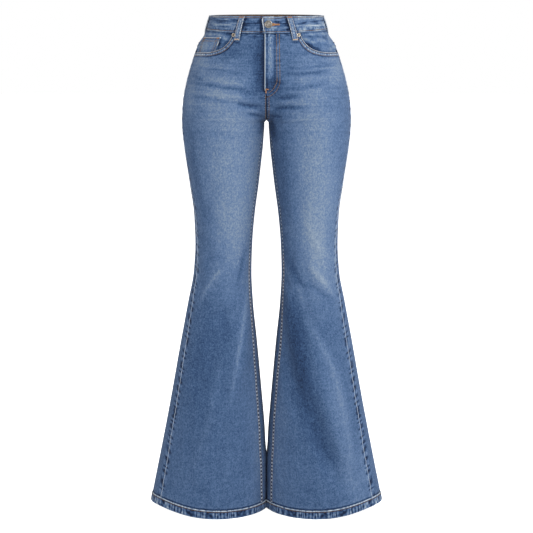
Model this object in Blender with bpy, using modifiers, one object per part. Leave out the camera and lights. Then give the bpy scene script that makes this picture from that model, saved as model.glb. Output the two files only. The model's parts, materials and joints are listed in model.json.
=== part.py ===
"""High-waisted flared jeans, filled out as they are when worn, with nobody in them.

Metres, +Z up. The front faces -Y and +X is the wearer's left. The origin is the middle of the waist,
level with the waistband's top edge at the side seams. Every cloth piece is a thin wall taken from one
smooth surface, which is worked out from SECTIONS: the left half's outline at each height, mirrored for
the right half.
"""

from math import pi, radians

import bmesh
import bpy
import numpy as np
from mathutils import Vector

# Cloth: how far each layer lies in front of the surface, and how thick it is
DENIM = 0.0015
LAYER_GAP = 0.0004
SEAM_GAP = 0.0003

# Heights
WAIST_TOP_Z = 0.014  # the surface reaches a little above the waistband
CROTCH_Z = -0.219
LEG_BOTTOM_Z = -1.069  # and a little below the hem
HEM_Z = -1.062  # hem at the middle of the front
HEM_TILT = 0.0098  # the hem is square to the slanting leg, so its outer side is higher
HEM_LIFT = 0.0098  # and both its sides are higher than its middle
HEM_CORNER = 0.0042  # and it turns up a little more beside the inseam
HEM_DEPTH = 0.0175
HEM_PROUD, HEM_THICK = 0.0005, 0.003
LEG_ROOM = 0.0008  # half of the room between the two legs where they touch
LEGS_TOUCH_Z = -0.72  # they may touch anywhere below this

# Waistband
WAIST_SLOPE = 0.04  # the top edge rises towards the back by this per metre
BAND_HEIGHT = 0.0295
BAND_FRONT_DIP = 0.004  # the band is this much higher at the middle of the front
BAND_PROUD, BAND_THICK = 0.001, 0.0026
OVERLAP_END_X = -0.0095  # the buttoned end reaches past the middle
OVERLAP_SLANT = 0.45  # its end slants, so its bottom corner is this share of the way to the middle
UNDERLAP_END_X = 0.016
OVERLAP_LIFT = 0.0031
OVERLAP_FLAT, OVERLAP_FADE = 0.020, 0.024  # it lies this far on top, and settles over the next stretch

# Fly, front pocket and yoke
FLY_END_Z = -0.159
FLY_REACH = 0.0038  # how far the left front laps over the right
FLY_LIFT = 0.0022
FLY_WIDTH = 0.03  # and how far from its edge the lap stands proud
FLY_LIFT_FADE, FLY_REACH_FADE = 0.016, 0.008  # heights over which the lap comes to nothing at its end
SCOOP_LEVEL = -0.060  # the height at which the pocket mouth is measured across
SCOOP_TOP_X = 0.075  # where the pocket mouth meets the waistband
SCOOP_SIDE_Z = -0.076  # how low it reaches on its way to the side seam
SCOOP_SQUARE = 4  # 2 would make it an ellipse, more makes its corner squarer
SCOOP_TURN = 0.02  # how much of its depth it rises again beside the side seam
FACING_THICK = 0.0013
FACING_DEPTH, FACING_RISE = 0.0046, 0.024  # it lies this deep at the mouth, and is level this far above it
FACING_SIDE_DEPTH, FACING_SIDE_RISE = 0.0022, 0.007  # the same at the side seam, where it is sewn in
FACING_SEWN_IN, FACING_LAP = 0.02, 0.002  # how far in from the side seam and up from the mouth that goes
FACING_UNDER = 0.015
YOKE_SIDE, YOKE_BACK = 0.034, 0.068  # the yoke's height at the side seam and at the middle of the back

# Belt loops
LOOP_WIDTH, LOOP_THICK = 0.011, 0.0018
LOOP_STAND = 0.0028
LOOP_LIFT, LOOP_STEP_DOWN = 0.0008, 0.009  # it steps down from the band to the panel over this height
# top and low are measured along the cloth from the middle of the front or back
LOOP_COLUMNS = ("name", "side", "face", "top", "low", "below_band")
LOOPS = (
    ("belt_loop_front_right", "right", "front", 0.0502, 0.0612, 0.0162),
    ("belt_loop_front_left", "left", "front", 0.0466, 0.0594, 0.0165),
    ("belt_loop_side_right", "right", "back", 0.1510, 0.1600, 0.014),
    ("belt_loop_side_left", "left", "back", 0.1510, 0.1600, 0.014),
    ("belt_loop_back", "left", "back", 0.0000, 0.0000, 0.015),
)

# Patches: the coin pocket's edges are measured from the side seam, and the back pocket's from the middle
PATCH_LIFT = 0.0007
COIN_TOP_Z, COIN_UNDER, COIN_THICK = -0.0455, 0.011, 0.001
COIN_TOP_EDGES, COIN_LOW_EDGES = (0.0165, 0.0715), (0.0125, 0.061)
POCKET_MIDDLE_X, POCKET_TOP_Z = 0.084, -0.104
POCKET_TOP_WIDTH, POCKET_LOW_WIDTH = 0.128, 0.110
POCKET_SIDE, POCKET_POINT, POCKET_SLANT = 0.112, 0.018, 0.009

# Metal
BUTTON_X, BUTTON_RADIUS, BUTTON_HEIGHT = 0.0040, 0.0079, 0.0026
RIVET_X = {"left": 0.0657, "right": 0.0675}
RIVET_Z, RIVET_RADIUS, RIVET_HEIGHT = -0.0408, 0.0040, 0.0016

# The left half's outline at each height. outer and inner are its sides, where a negative inner means
# that the leg's own ring would run on past the middle, and stops there as the centre seam. front and back
# are its faces and mid is where it is widest. bridge rounds the valley at the centre seam. side_seam and
# inseam are degrees round the ring from its outermost point towards the front.
SECTION_COLUMNS = (
    "z", "outer", "inner_front", "inner_back", "front", "back", "mid", "bridge", "side_seam", "inseam",
)
SECTIONS = (
    (0.015, 0.1142, -0.1142, -0.1142, -0.0870, 0.0890, 0.000, 0.000, 7, 180),
    (-0.012, 0.1190, -0.1190, -0.1190, -0.0890, 0.0930, 0.000, 0.004, 7, 180),
    (-0.034, 0.1270, -0.1270, -0.1270, -0.0910, 0.0970, 0.000, 0.008, 7, 180),
    (-0.060, 0.1432, -0.1400, -0.1432, -0.0930, 0.1030, 0.000, 0.014, 8, 180),
    (-0.100, 0.1580, -0.1120, -0.1300, -0.0945, 0.1110, 0.002, 0.026, 8, 180),
    (-0.140, 0.1692, -0.0830, -0.0950, -0.0945, 0.1150, 0.004, 0.036, 9, 180),
    (-0.175, 0.1760, -0.0500, -0.0560, -0.0922, 0.1125, 0.005, 0.034, 9, 180),
    (-0.203, 0.1784, -0.0190, -0.0210, -0.0892, 0.1060, 0.005, 0.018, 10, 180),
    (-0.219, 0.1789, 0.0000, 0.0000, -0.0874, 0.1015, 0.005, 0.003, 10, 180),
    (-0.232, 0.1785, 0.0036, 0.0036, -0.0860, 0.0975, 0.004, 0.002, 10, 172),
    (-0.280, 0.1738, 0.0082, 0.0082, -0.0830, 0.0880, 0.003, 0.000, 12, 163),
    (-0.350, 0.1633, 0.0162, 0.0162, -0.0795, 0.0780, 0.000, 0.000, 15, 162),
    (-0.420, 0.1538, 0.0254, 0.0254, -0.0745, 0.0690, -0.003, 0.000, 20, 161),
    (-0.480, 0.1518, 0.0303, 0.0303, -0.0710, 0.0630, -0.004, 0.000, 24, 161),
    (-0.540, 0.1555, 0.0320, 0.0320, -0.0700, 0.0630, -0.004, 0.000, 27, 160),
    (-0.605, 0.1678, 0.0289, 0.0289, -0.0715, 0.0665, -0.003, 0.000, 30, 158),
    (-0.690, 0.1839, 0.0203, 0.0203, -0.0745, 0.0715, -0.002, 0.000, 31, 157),
    (-0.820, 0.2075, 0.0087, 0.0087, -0.0795, 0.0780, 0.000, 0.000, 31, 156),
    (-0.950, 0.2330, -0.0006, -0.0006, -0.0845, 0.0840, 0.000, 0.000, 32, 156),
    (-1.070, 0.2575, -0.0016, -0.0016, -0.0885, 0.0890, 0.000, 0.000, 33, 158),
)

# Soft folds. Each runs from one point to another of a leg's face: how far across it (0 inseam side, 1 side
# seam side) and how high. height is outwards, so a trough is negative; width is half of what it takes up.
FOLD_COLUMNS = ("side", "face", "across_a", "z_a", "across_b", "z_b", "height", "width")
FOLDS = (
    ("right", "front", 0.05, -0.570, 0.40, -0.880, 0.0065, 0.016),
    ("right", "front", 0.38, -0.600, 0.74, -0.800, -0.0070, 0.028),
    ("right", "front", 0.42, -0.790, 0.66, -0.990, 0.0060, 0.019),
    ("right", "front", 0.30, -0.515, 0.78, -0.592, 0.0035, 0.012),
    ("left", "front", 0.04, -0.545, 0.44, -0.810, 0.0065, 0.014),
    ("left", "front", 0.02, -0.640, 0.34, -0.860, -0.0055, 0.016),
    ("left", "front", 0.42, -0.650, 0.77, -0.960, 0.0085, 0.021),
    ("left", "front", 0.40, -0.790, 0.66, -1.010, -0.0075, 0.020),
    ("left", "front", 0.44, -0.515, 0.88, -0.600, 0.0035, 0.012),
    ("right", "back", 0.20, -0.560, 0.46, -0.940, 0.0075, 0.022),
    ("right", "back", 0.70, -0.580, 0.58, -1.000, -0.0085, 0.028),
    ("right", "back", 0.12, -0.500, 0.80, -0.530, -0.0040, 0.012),
    ("left", "back", 0.22, -0.550, 0.40, -0.920, -0.0080, 0.026),
    ("left", "back", 0.64, -0.580, 0.74, -0.980, 0.0080, 0.022),
    ("left", "back", 0.16, -0.518, 0.84, -0.500, -0.0040, 0.012),
    ("right", "front", 0.02, -0.196, 0.50, -0.176, -0.0022, 0.008),
    ("left", "front", 0.02, -0.192, 0.46, -0.180, -0.0020, 0.009),
    ("right", "back", 0.10, -0.258, 0.70, -0.246, -0.0040, 0.012),
    ("left", "back", 0.10, -0.262, 0.66, -0.248, -0.0036, 0.012),
)

# Mesh sizes
SCOOP_COLUMNS, FLY_COLUMNS = 9, 5  # the front's columns on either side of the scoop's top end
BACK_COLUMNS = 18
TORSO_ROWS, LEG_ROWS = 13, 24
CROWDING = {"torso": 1.5, "leg": 1.3, "scoop": 1.4}  # how strongly rows or columns crowd towards one end
LATTICE_ACROSS, LATTICE_TORSO, LATTICE_LEG = 97, 90, 240  # the smooth surface's own points

DENIM_BLUE = (0.085, 0.17, 0.36)
METAL = (0.42, 0.39, 0.34)
SIDES = {"left": 1, "right": -1}


def smooth(z, heights, values):
    """A curve through the values: cubic pieces with no overshoot, flat where the values turn back."""
    order = np.argsort(heights)
    x, v = np.asarray(heights, float)[order], np.asarray(values, float)[order]
    step = np.diff(x)
    rise = np.diff(v) / step
    slope = np.zeros_like(v)
    same_way = rise[:-1] * rise[1:] > 0
    mean = 2 * rise[:-1] * rise[1:] / np.where(same_way, rise[:-1] + rise[1:], 1)
    slope[1:-1] = np.where(same_way, mean, 0)
    slope[0], slope[-1] = rise[0], rise[-1]
    i = np.clip(np.searchsorted(x, z) - 1, 0, len(step) - 1)
    t = (z - x[i]) / step[i]
    return (
        v[i] * (1 + 2 * t) * (1 - t) ** 2
        + v[i + 1] * t * t * (3 - 2 * t)
        + step[i] * slope[i] * t * (1 - t) ** 2
        - step[i] * slope[i + 1] * t * t * (1 - t)
    )


def size_at(name, z):
    table = np.array(SECTIONS)
    return smooth(z, table[:, 0], table[:, SECTION_COLUMNS.index(name)])


def ease(share):
    """0 below 0, 1 above 1, and a smooth step between."""
    s = np.clip(share, 0, 1)
    return s * s * (3 - 2 * s)


def ring_point(angle, z):
    """(x, y) of the left half at a height. The angle is 0 at the outermost point, positive round the front
    and negative round the back, and past -180 degrees it is on the front again."""
    front = (angle >= 0) | (angle < -pi)
    outer, mid, bridge = (size_at(name, z) for name in ("outer", "mid", "bridge"))
    inner = np.where(front, size_at("inner_front", z), size_at("inner_back", z))
    centre, half = (outer + inner) / 2, (outer - inner) / 2
    stretch = outer / (np.hypot(outer, bridge) - bridge)
    flat = np.maximum(centre + half * np.cos(angle), 0) / stretch
    depth = np.where(front, size_at("front", z) - mid, size_at("back", z) - mid)
    return np.sqrt(flat * (flat + 2 * bridge)), mid + depth * np.abs(np.sin(angle))


def end_angle(face, z):
    """The angle where a face ends: at the centre seam above the crotch, and at the inseam below it."""
    outer, inner = size_at("outer", z), size_at("inner_" + face, z)
    clipped = np.arccos(-np.clip((outer + inner) / (outer - inner), 0, 1))
    inseam = np.radians(size_at("inseam", z))
    if face == "front":
        return np.where(z > CROTCH_Z, clipped, inseam)
    return np.where(z > CROTCH_Z, -clipped, inseam - 2 * pi)


def fold_height(side, face, across, z, width_of_leg):
    """How far the folds push the cloth out: each is a smooth bump round the line between its two ends."""
    total = np.zeros_like(z)
    for row in FOLDS:
        fold = dict(zip(FOLD_COLUMNS, row))
        if (fold["side"], fold["face"]) != (side, face):
            continue
        run_x, run_z = (fold["across_b"] - fold["across_a"]) * width_of_leg, fold["z_b"] - fold["z_a"]
        off_x, off_z = (across - fold["across_a"]) * width_of_leg, z - fold["z_a"]
        long = np.hypot(run_x, run_z)
        along = (off_x * run_x + off_z * run_z) / long**2
        away = (off_x * run_z - off_z * run_x) / long
        taper = np.sin(pi * np.clip(along, 0, 1)) ** 0.8
        total += fold["height"] * taper * np.exp(-((away / fold["width"]) ** 2))
    return total


class Face:
    """One panel's smooth surface as a fine lattice: share 0 at the side seam to 1 at the centre seam or
    inseam, and every height. Its columns are equal shares of the width, measured along the cloth."""

    def __init__(self, side, face):
        torso = CROTCH_Z + (WAIST_TOP_Z - CROTCH_Z) * np.linspace(1, 0, LATTICE_TORSO) ** 2
        leg = CROTCH_Z + (LEG_BOTTOM_Z - CROTCH_Z) * np.linspace(0, 1, LATTICE_LEG)[1:] ** 1.15
        self.z = np.concatenate([torso, leg])
        z = self.z[:, None]
        start, end = np.radians(size_at("side_seam", z)), end_angle(face, z)
        angle = start + (end - start) * (1 - np.linspace(1, 0, 4 * LATTICE_ACROSS) ** 2)
        x, y = ring_point(angle, np.broadcast_to(z, angle.shape))
        x = np.where(z < LEGS_TOUCH_Z, np.maximum(x, LEG_ROOM), x)
        steps = np.hypot(np.diff(x), np.diff(y))
        length = np.concatenate([np.zeros((len(z), 1)), np.cumsum(steps, axis=1)], axis=1)
        self.width = length[:, -1]
        share = np.linspace(0, 1, LATTICE_ACROSS)
        points = np.empty((len(z), LATTICE_ACROSS, 3))
        for i, total in enumerate(self.width):
            points[i, :, 0] = np.interp(share * total, length[i], x[i])
            points[i, :, 1] = np.interp(share * total, length[i], y[i])
        points[..., 2] = z
        normals = self.normals_of(points, face)
        outer, inner = size_at("outer", z), np.maximum(size_at("inner_front", z), 0)
        across = (points[..., 0] - inner) / (outer - inner)
        fade_at_sides = np.clip(np.abs(normals[..., 1]) * 1.4, 0, 1)
        bump = fold_height(side, face, across, points[..., 2], outer - inner) * fade_at_sides
        self.points = points + normals * bump[..., None]
        self.normals = self.normals_of(self.points, face)
        self.sign = SIDES[side]

    def normals_of(self, points, face):
        around, down = np.gradient(points, axis=1), np.gradient(points, axis=0)
        normals = np.cross(around, down) if face == "front" else np.cross(down, around)
        centre = self.z > CROTCH_Z
        normals[centre, -1, 0] = 0
        return normals / np.linalg.norm(normals, axis=2, keepdims=True)

    def blended(self, grid, share, z):
        rows, columns = len(self.z), LATTICE_ACROSS - 1
        row = np.interp(-z, -self.z, np.arange(rows))
        i = np.clip(row.astype(int), 0, rows - 2)
        j = np.clip((share * columns).astype(int), 0, columns - 1)
        u, v = (share * columns - j)[..., None], (row - i)[..., None]
        near = grid[i, j] * (1 - u) + grid[i, j + 1] * u
        far = grid[i + 1, j] * (1 - u) + grid[i + 1, j + 1] * u
        return near * (1 - v) + far * v

    def at(self, share, z, lift=0.0):
        """Points on the surface, moved out by lift."""
        share, z, lift = np.broadcast_arrays(np.asarray(share, float), np.asarray(z, float), lift)
        out = self.blended(self.points, share, z)
        out = out + self.blended(self.normals, share, z) * lift[..., None]
        out[..., 0] *= self.sign
        return out

    def width_at(self, z):
        """The face's width at a height, measured along the cloth."""
        return np.interp(-z, -self.z, self.width)

    def share_at_x(self, x, z):
        """The share where the surface is this far from the middle, found by halving."""
        low, high = np.zeros_like(x), np.ones_like(x)
        for _ in range(24):
            middle = (low + high) / 2
            too_far = np.abs(self.at(middle, z)[..., 0]) > x
            low, high = np.where(too_far, middle, low), np.where(too_far, high, middle)
        return (low + high) / 2

    def share_from_centre(self, distance, z):
        """The share that lies this far from the centre seam, measured along the cloth."""
        return 1 - distance / self.width_at(z)

    def inside_seams(self, share, z):
        """Shares kept half a seam's gap away from both edges, and more near the crotch, where it turns."""
        at_crotch = np.exp(-(((z - CROTCH_Z) / 0.01) ** 2))
        margin = SEAM_GAP / 2 / self.width_at(z) * (1 + 2 * at_crotch)
        return margin + (1 - 2 * margin) * share

    def waist_z(self, share):
        """The waistband's top edge, which slopes up to the back."""
        return WAIST_SLOPE * self.at(share, np.zeros_like(share))[..., 1]

    def band_z(self, share):
        """The seam under the waistband."""
        depth = np.clip(self.at(share, np.zeros_like(share))[..., 1] / size_at("front", 0.0), 0, 1)
        return self.waist_z(share) - BAND_HEIGHT - BAND_FRONT_DIP * depth**2

    def hem_z(self, share):
        z = np.full_like(share, HEM_Z)
        outer, inner = size_at("outer", HEM_Z), size_at("inner_front", HEM_Z)
        across = (2 * np.abs(self.at(share, z)[..., 0]) - outer - inner) / (outer - inner)
        corner = HEM_CORNER * np.clip(-across, 0, 1) ** 5
        return HEM_Z + HEM_TILT * across + HEM_LIFT * across**2 + corner


def new_material(name, colour, roughness, metallic=0.0):
    material = bpy.data.materials.new(name)
    material.use_nodes = True
    shader = material.node_tree.nodes["Principled BSDF"]
    shader.inputs["Base Color"].default_value = (*colour, 1)
    shader.inputs["Roughness"].default_value = roughness
    shader.inputs["Metallic"].default_value = metallic
    return material


def new_object(name, mesh, material, collection):
    obj = bpy.data.objects.new(name, mesh)
    obj.data.materials.append(material)
    collection.objects.link(obj)
    return obj


def wall(name, outer, inner, material, collection, closed=False):
    """A cloth wall as a loft between an outer and an inner grid of points, with its edges filled. A closed
    wall joins its last column to its first."""
    rows, columns = outer.shape[:2]
    points = np.concatenate([outer.reshape(-1, 3), inner.reshape(-1, 3)])
    index = np.arange(rows * columns).reshape(rows, columns)
    if closed:
        index = np.concatenate([index, index[:, :1]], axis=1)
    far = rows * columns
    a, b, c, d = index[:-1, :-1], index[1:, :-1], index[1:, 1:], index[:-1, 1:]
    quads = np.stack([a, b, c, d], axis=-1).reshape(-1, 4)
    faces = np.concatenate([quads, quads[:, ::-1] + far])
    edges = [index[0, ::-1], index[-1, :]]
    if not closed:
        edges += [index[:, 0], index[::-1, -1]]
    for edge in edges:
        rim = np.stack([edge[1:], edge[:-1], edge[:-1] + far, edge[1:] + far], axis=-1)
        faces = np.concatenate([faces, rim])
    mesh = bpy.data.meshes.new(name)
    mesh.from_pydata(points.tolist(), [], faces.tolist())
    make = bmesh.new()
    make.from_mesh(mesh)
    if make.calc_volume(signed=True) < 0:
        bmesh.ops.reverse_faces(make, faces=make.faces)
    make.to_mesh(mesh)
    make.free()
    mesh.shade_smooth()
    mesh.set_sharp_from_angle(angle=radians(50))
    return new_object(name, mesh, material, collection)


def scoop_z(face, share):
    """The height of the front pocket's mouth: a squared quarter ellipse from the side seam up to the waistband."""
    x = np.abs(face.at(share, np.full_like(share, SCOOP_LEVEL))[..., 0])
    side_x = size_at("outer", SCOOP_SIDE_Z + 0.012)
    reach = np.clip((side_x - x) / (side_x - SCOOP_TOP_X), 0, 1)
    top = face.band_z(share)
    depth = np.sqrt(1 - reach**SCOOP_SQUARE) - SCOOP_TURN * np.clip(1 - reach / 0.4, 0, 1) ** 2
    return top - (top - SCOOP_SIDE_Z) * depth


def panel_heights(top, bottom):
    """Rows from a panel's top edge to its bottom edge, closer together towards the crotch."""
    down = 1 - np.linspace(1, 0, TORSO_ROWS + 1)[:, None] ** CROWDING["torso"]
    torso = top + (CROTCH_Z - top) * down
    down_leg = np.linspace(0, 1, LEG_ROWS + 1)[1:, None] ** CROWDING["leg"]
    leg = CROTCH_Z + (bottom - CROTCH_Z) * down_leg
    return np.concatenate([torso, leg])


def front_shares(face):
    """The front's columns: even at the hem, and closer together at the scoop's top end."""
    scoop_end = face.share_at_x(np.full(1, SCOOP_TOP_X), np.full(1, SCOOP_LEVEL))[0]
    to_scoop = scoop_end * (1 - np.linspace(1, 0, SCOOP_COLUMNS + 1) ** CROWDING["scoop"])
    to_fly = scoop_end + (1 - scoop_end) * np.linspace(0, 1, FLY_COLUMNS + 1)[1:]
    return np.concatenate([to_scoop, to_fly]), np.linspace(0, 1, SCOOP_COLUMNS + FLY_COLUMNS + 1)


def front_panel(side, face, material, collection):
    """The front: its top edge is the pocket mouth near the side seam. The left one laps over at the fly."""
    crowded, even = front_shares(face)
    top = np.minimum(face.band_z(crowded), scoop_z(face, crowded)) - LAYER_GAP
    z = panel_heights(top, face.hem_z(even) + HEM_DEPTH + LAYER_GAP)
    share = face.inside_seams(even + (crowded - even) * ease((z - CROTCH_Z) / -CROTCH_Z * 1.6), z)
    lift = np.zeros_like(z)
    reach = np.zeros(len(z))
    if side == "left":
        from_centre = (1 - share) * face.width_at(z)
        above_end = z - FLY_END_Z
        lift = FLY_LIFT * (1 - ease(from_centre / FLY_WIDTH)) * ease(above_end / FLY_LIFT_FADE + 1)
        reach = FLY_REACH * ease(above_end[:, -1] / FLY_REACH_FADE)
    outer, inner = face.at(share, z, lift), face.at(share, z, lift - DENIM)
    outer[:, -1, 0] -= reach
    inner[:, -1, 0] -= reach
    wall("front_" + side, outer, inner, material, collection)


def yoke_z(face, share):
    return face.band_z(share) - YOKE_SIDE - (YOKE_BACK - YOKE_SIDE) * share


def back_panel(side, face, material, collection):
    share = np.linspace(0, 1, BACK_COLUMNS + 1)
    z = panel_heights(yoke_z(face, share) - LAYER_GAP, face.hem_z(share) + HEM_DEPTH + LAYER_GAP)
    share = face.inside_seams(share, z)
    wall("back_" + side, face.at(share, z), face.at(share, z, -DENIM), material, collection)


def yoke(side, face, material, collection):
    share = np.linspace(0, 1, BACK_COLUMNS + 1)
    top = face.band_z(share) - LAYER_GAP
    z = top + (yoke_z(face, share) - top) * np.linspace(0, 1, 4)[:, None]
    share = face.inside_seams(share, z)
    wall("yoke_" + side, face.at(share, z), face.at(share, z, -DENIM), material, collection)


def facing_lift(face, share, z):
    """The pocket facing lies under the front at the pocket mouth and comes up level with it above."""
    above = z - scoop_z(face, share)
    inside = ease(share * face.width_at(z) / FACING_SEWN_IN)
    depth = FACING_SIDE_DEPTH + (FACING_DEPTH - FACING_SIDE_DEPTH) * inside
    rise = FACING_SIDE_RISE + (FACING_RISE - FACING_SIDE_RISE) * inside
    return -depth * (1 - ease((above - FACING_LAP) / rise))


def pocket_facing(side, face, material, collection):
    inner_end = face.share_at_x(np.full(1, SCOOP_TOP_X - 0.006), np.full(1, SCOOP_LEVEL))[0]
    share = inner_end * np.linspace(0, 1, 14)
    top = face.band_z(share) - LAYER_GAP
    bottom = np.minimum(scoop_z(face, share), top - 0.002) - FACING_UNDER
    z = top + (bottom - top) * np.linspace(0, 1, 10)[:, None]
    share = face.inside_seams(share, z)
    lift = facing_lift(face, share, z)
    outer, inner = face.at(share, z, lift), face.at(share, z, lift - FACING_THICK)
    wall("pocket_facing_" + side, outer, inner, material, collection)


def coin_pocket(face, material, collection):
    """The small patch on the right facing, whose lower part goes on down behind the front."""
    down, across = np.linspace(0, 1, 8)[:, None], np.linspace(0, 1, 8)
    near, far = ((1 - down) * COIN_TOP_EDGES[i] + down * COIN_LOW_EDGES[i] for i in (0, 1))
    share = (near + (far - near) * across) / face.width_at(np.full(1, COIN_TOP_Z))
    z = COIN_TOP_Z + (scoop_z(face, share) - COIN_UNDER - COIN_TOP_Z) * down
    lift = facing_lift(face, share, z) + PATCH_LIFT
    outer, inner = face.at(share, z, lift + COIN_THICK), face.at(share, z, lift)
    wall("coin_pocket", outer, inner, material, collection)


def back_pocket(side, face, material, collection):
    """A plain five-sided patch on the seat."""
    across, down = np.linspace(-0.5, 0.5, 13), np.linspace(0, 1, 11)[:, None]
    low = -POCKET_SIDE - POCKET_POINT * (1 - 2 * np.abs(across))
    z = POCKET_TOP_Z + POCKET_SLANT * across + low * down
    x = POCKET_MIDDLE_X + across * (POCKET_TOP_WIDTH + (POCKET_LOW_WIDTH - POCKET_TOP_WIDTH) * down)
    share = face.share_at_x(x, z)
    outer, inner = face.at(share, z, PATCH_LIFT + DENIM), face.at(share, z, PATCH_LIFT)
    wall("back_pocket_" + side, outer, inner, material, collection)


def hem(side, faces, material, collection):
    """The folded-up hem: a closed band round the bottom of a leg."""
    front, back = faces[side, "front"], faces[side, "back"]
    round_front = np.linspace(0, 1, SCOOP_COLUMNS + FLY_COLUMNS + 1)[:-1]
    round_back = np.linspace(1, 0, BACK_COLUMNS + 1)[:-1]
    up = np.linspace(0, HEM_DEPTH, 3)[:, None]
    layers = []
    for lift in (HEM_PROUD, HEM_PROUD - HEM_THICK):
        first = front.at(round_front + 0 * up, front.hem_z(round_front) + up, lift)
        second = back.at(round_back + 0 * up, back.hem_z(round_back) + up, lift)
        layers.append(np.concatenate([first, second], axis=1))
    wall("hem_" + side, *layers, material, collection, closed=True)


def waistband(faces, material, collection):
    """One long strip: from the buttoned end, which lies on top, round the left side, the back and the right
    side to the end that lies below."""
    round_half = np.linspace(0, 1, 15)
    middle = np.full(1, -0.02)
    over = faces["right", "front"].share_at_x(np.full(1, -OVERLAP_END_X), middle)[0]
    under = faces["left", "front"].share_at_x(np.full(1, UNDERLAP_END_X), middle)[0]
    stretches = (
        ("right", "front", np.linspace(over, 1, 3)[:-1]),
        ("left", "front", round_half[::-1]),
        ("left", "back", round_half[1:]),
        ("right", "back", round_half[-2::-1]),
        ("right", "front", round_half[1:-1]),
        ("left", "front", np.linspace(1, under, 3)),
    )
    up = np.linspace(0, 1, 3)[:, None]
    layers = []
    for offset in (BAND_PROUD, BAND_PROUD - BAND_THICK):
        parts = []
        for number, (side, name, share) in enumerate(stretches):
            face = faces[side, name]
            from_middle = (1 - share) * face.width_at(middle)
            settled = ease((from_middle - OVERLAP_FLAT) / OVERLAP_FADE)
            on_top = {0: 1 + 0 * share, 1: 1 - settled}.get(number, 0 * share)
            low, high = face.band_z(share), face.waist_z(share)
            z = low + (high - low) * up
            end_slant = OVERLAP_SLANT * (1 - share) * (1 - up) if number == 0 else 0 * up
            parts.append(face.at(share + end_slant, z, offset + OVERLAP_LIFT * on_top + 0 * up))
        layers.append(np.concatenate(parts, axis=1))
    wall("waistband", *layers, material, collection)


def belt_loop(loop, face, material, collection):
    """A strip from the waistband's top edge to below it, sewn at its ends and standing off between them."""
    down = np.linspace(0, 1, 9)[:, None]
    across = np.array([-0.5, 0.0, 0.5]) * LOOP_WIDTH
    middle = face.share_from_centre(np.full(1, loop["top"]), np.full(1, -0.02))
    top, band = face.waist_z(middle)[0] - 0.0005, face.band_z(middle)[0]
    z = top + (band - loop["below_band"] - top) * down + 0 * across
    from_centre = loop["top"] + (loop["low"] - loop["top"]) * down + across
    mirrored = from_centre < 0
    share = face.share_from_centre(np.abs(from_centre), z)
    stand = LOOP_STAND * np.sin(pi * np.clip(down * 1.04, 0, 1)) ** 0.7
    on_band = 1 - ease((band - 0.002 - z) / LOOP_STEP_DOWN)
    lift = LOOP_LIFT + BAND_PROUD * on_band + stand
    layers = []
    for offset in (LOOP_THICK, 0):
        points = face.at(share, z, lift + offset)
        points[..., 0] = np.where(mirrored, -points[..., 0], points[..., 0])
        layers.append(points)
    wall(loop["name"], *layers, material, collection)


def turned_piece(name, profile, place, normal, material, collection):
    """A round piece turned from a profile of (radius, height), standing on the cloth along its normal."""
    mesh = bpy.data.meshes.new(name)
    points = [(radius, 0, height) for radius, height in profile]
    mesh.from_pydata(points, [(i, i + 1) for i in range(len(points) - 1)], [])
    obj = new_object(name, mesh, material, collection)
    screw = obj.modifiers.new("Screw", "SCREW")
    screw.steps = screw.render_steps = 24
    screw.use_merge_vertices = True
    screw.merge_threshold = 0.00001
    obj.location = place
    obj.rotation_mode = "QUATERNION"
    obj.rotation_quaternion = Vector(normal).to_track_quat("Z", "Y")


def dome_profile(radius, height):
    """Top to bottom: a shallow dome, a rounded rim and a flat underside."""
    arc = np.radians([90, 70, 45, 20, 0])
    rim, thick = 0.14 * radius, 0.32 * height
    top = [(0, height), (0.45 * radius, height * 0.97), (0.8 * radius, height * 0.86)]
    side = [(radius - rim + rim * np.cos(a), thick + (height * 0.8 - thick) * np.sin(a)) for a in arc[1:]]
    return top + side + [(radius * 0.96, 0), (0, 0)]


def normal_at(face, share, z):
    return face.at(np.array([share]), np.array([z]), 1.0)[0] - face.at(np.array([share]), np.array([z]))[0]


def metal_pieces(faces, material, collection):
    face = faces["left", "front"]
    z = size_at("front", 0.0) * WAIST_SLOPE - (BAND_HEIGHT + BAND_FRONT_DIP) * 0.48
    share = face.share_at_x(np.full(1, BUTTON_X), np.full(1, z))[0]
    place = face.at(np.array([share]), np.array([z]), BAND_PROUD + OVERLAP_LIFT + LAYER_GAP)[0]
    profile = dome_profile(BUTTON_RADIUS, BUTTON_HEIGHT)
    turned_piece("button", profile, place, normal_at(face, share, z), material, collection)
    for side, x in RIVET_X.items():
        face = faces[side, "front"]
        share = face.share_at_x(np.full(1, x), np.full(1, RIVET_Z))[0]
        place = face.at(np.array([share]), np.array([RIVET_Z]), LAYER_GAP)[0]
        profile = dome_profile(RIVET_RADIUS, RIVET_HEIGHT)
        normal = normal_at(face, share, RIVET_Z)
        turned_piece("rivet_" + side, profile, place, normal, material, collection)


def build():
    for obj in list(bpy.data.objects):
        bpy.data.objects.remove(obj, do_unlink=True)
    collection = bpy.data.collections.new("flared_jeans")
    bpy.context.scene.collection.children.link(collection)
    denim = new_material("denim", DENIM_BLUE, 0.88)
    metal = new_material("aged_metal", METAL, 0.38, 1.0)
    faces = {(side, face): Face(side, face) for side in SIDES for face in ("front", "back")}
    for side in SIDES:
        front, back = faces[side, "front"], faces[side, "back"]
        front_panel(side, front, denim, collection)
        back_panel(side, back, denim, collection)
        yoke(side, back, denim, collection)
        pocket_facing(side, front, denim, collection)
        back_pocket(side, back, denim, collection)
        hem(side, faces, denim, collection)
    coin_pocket(faces["right", "front"], denim, collection)
    waistband(faces, denim, collection)
    for row in LOOPS:
        loop = dict(zip(LOOP_COLUMNS, row))
        belt_loop(loop, faces[loop["side"], loop["face"]], denim, collection)
    metal_pieces(faces, metal, collection)


build()
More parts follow.
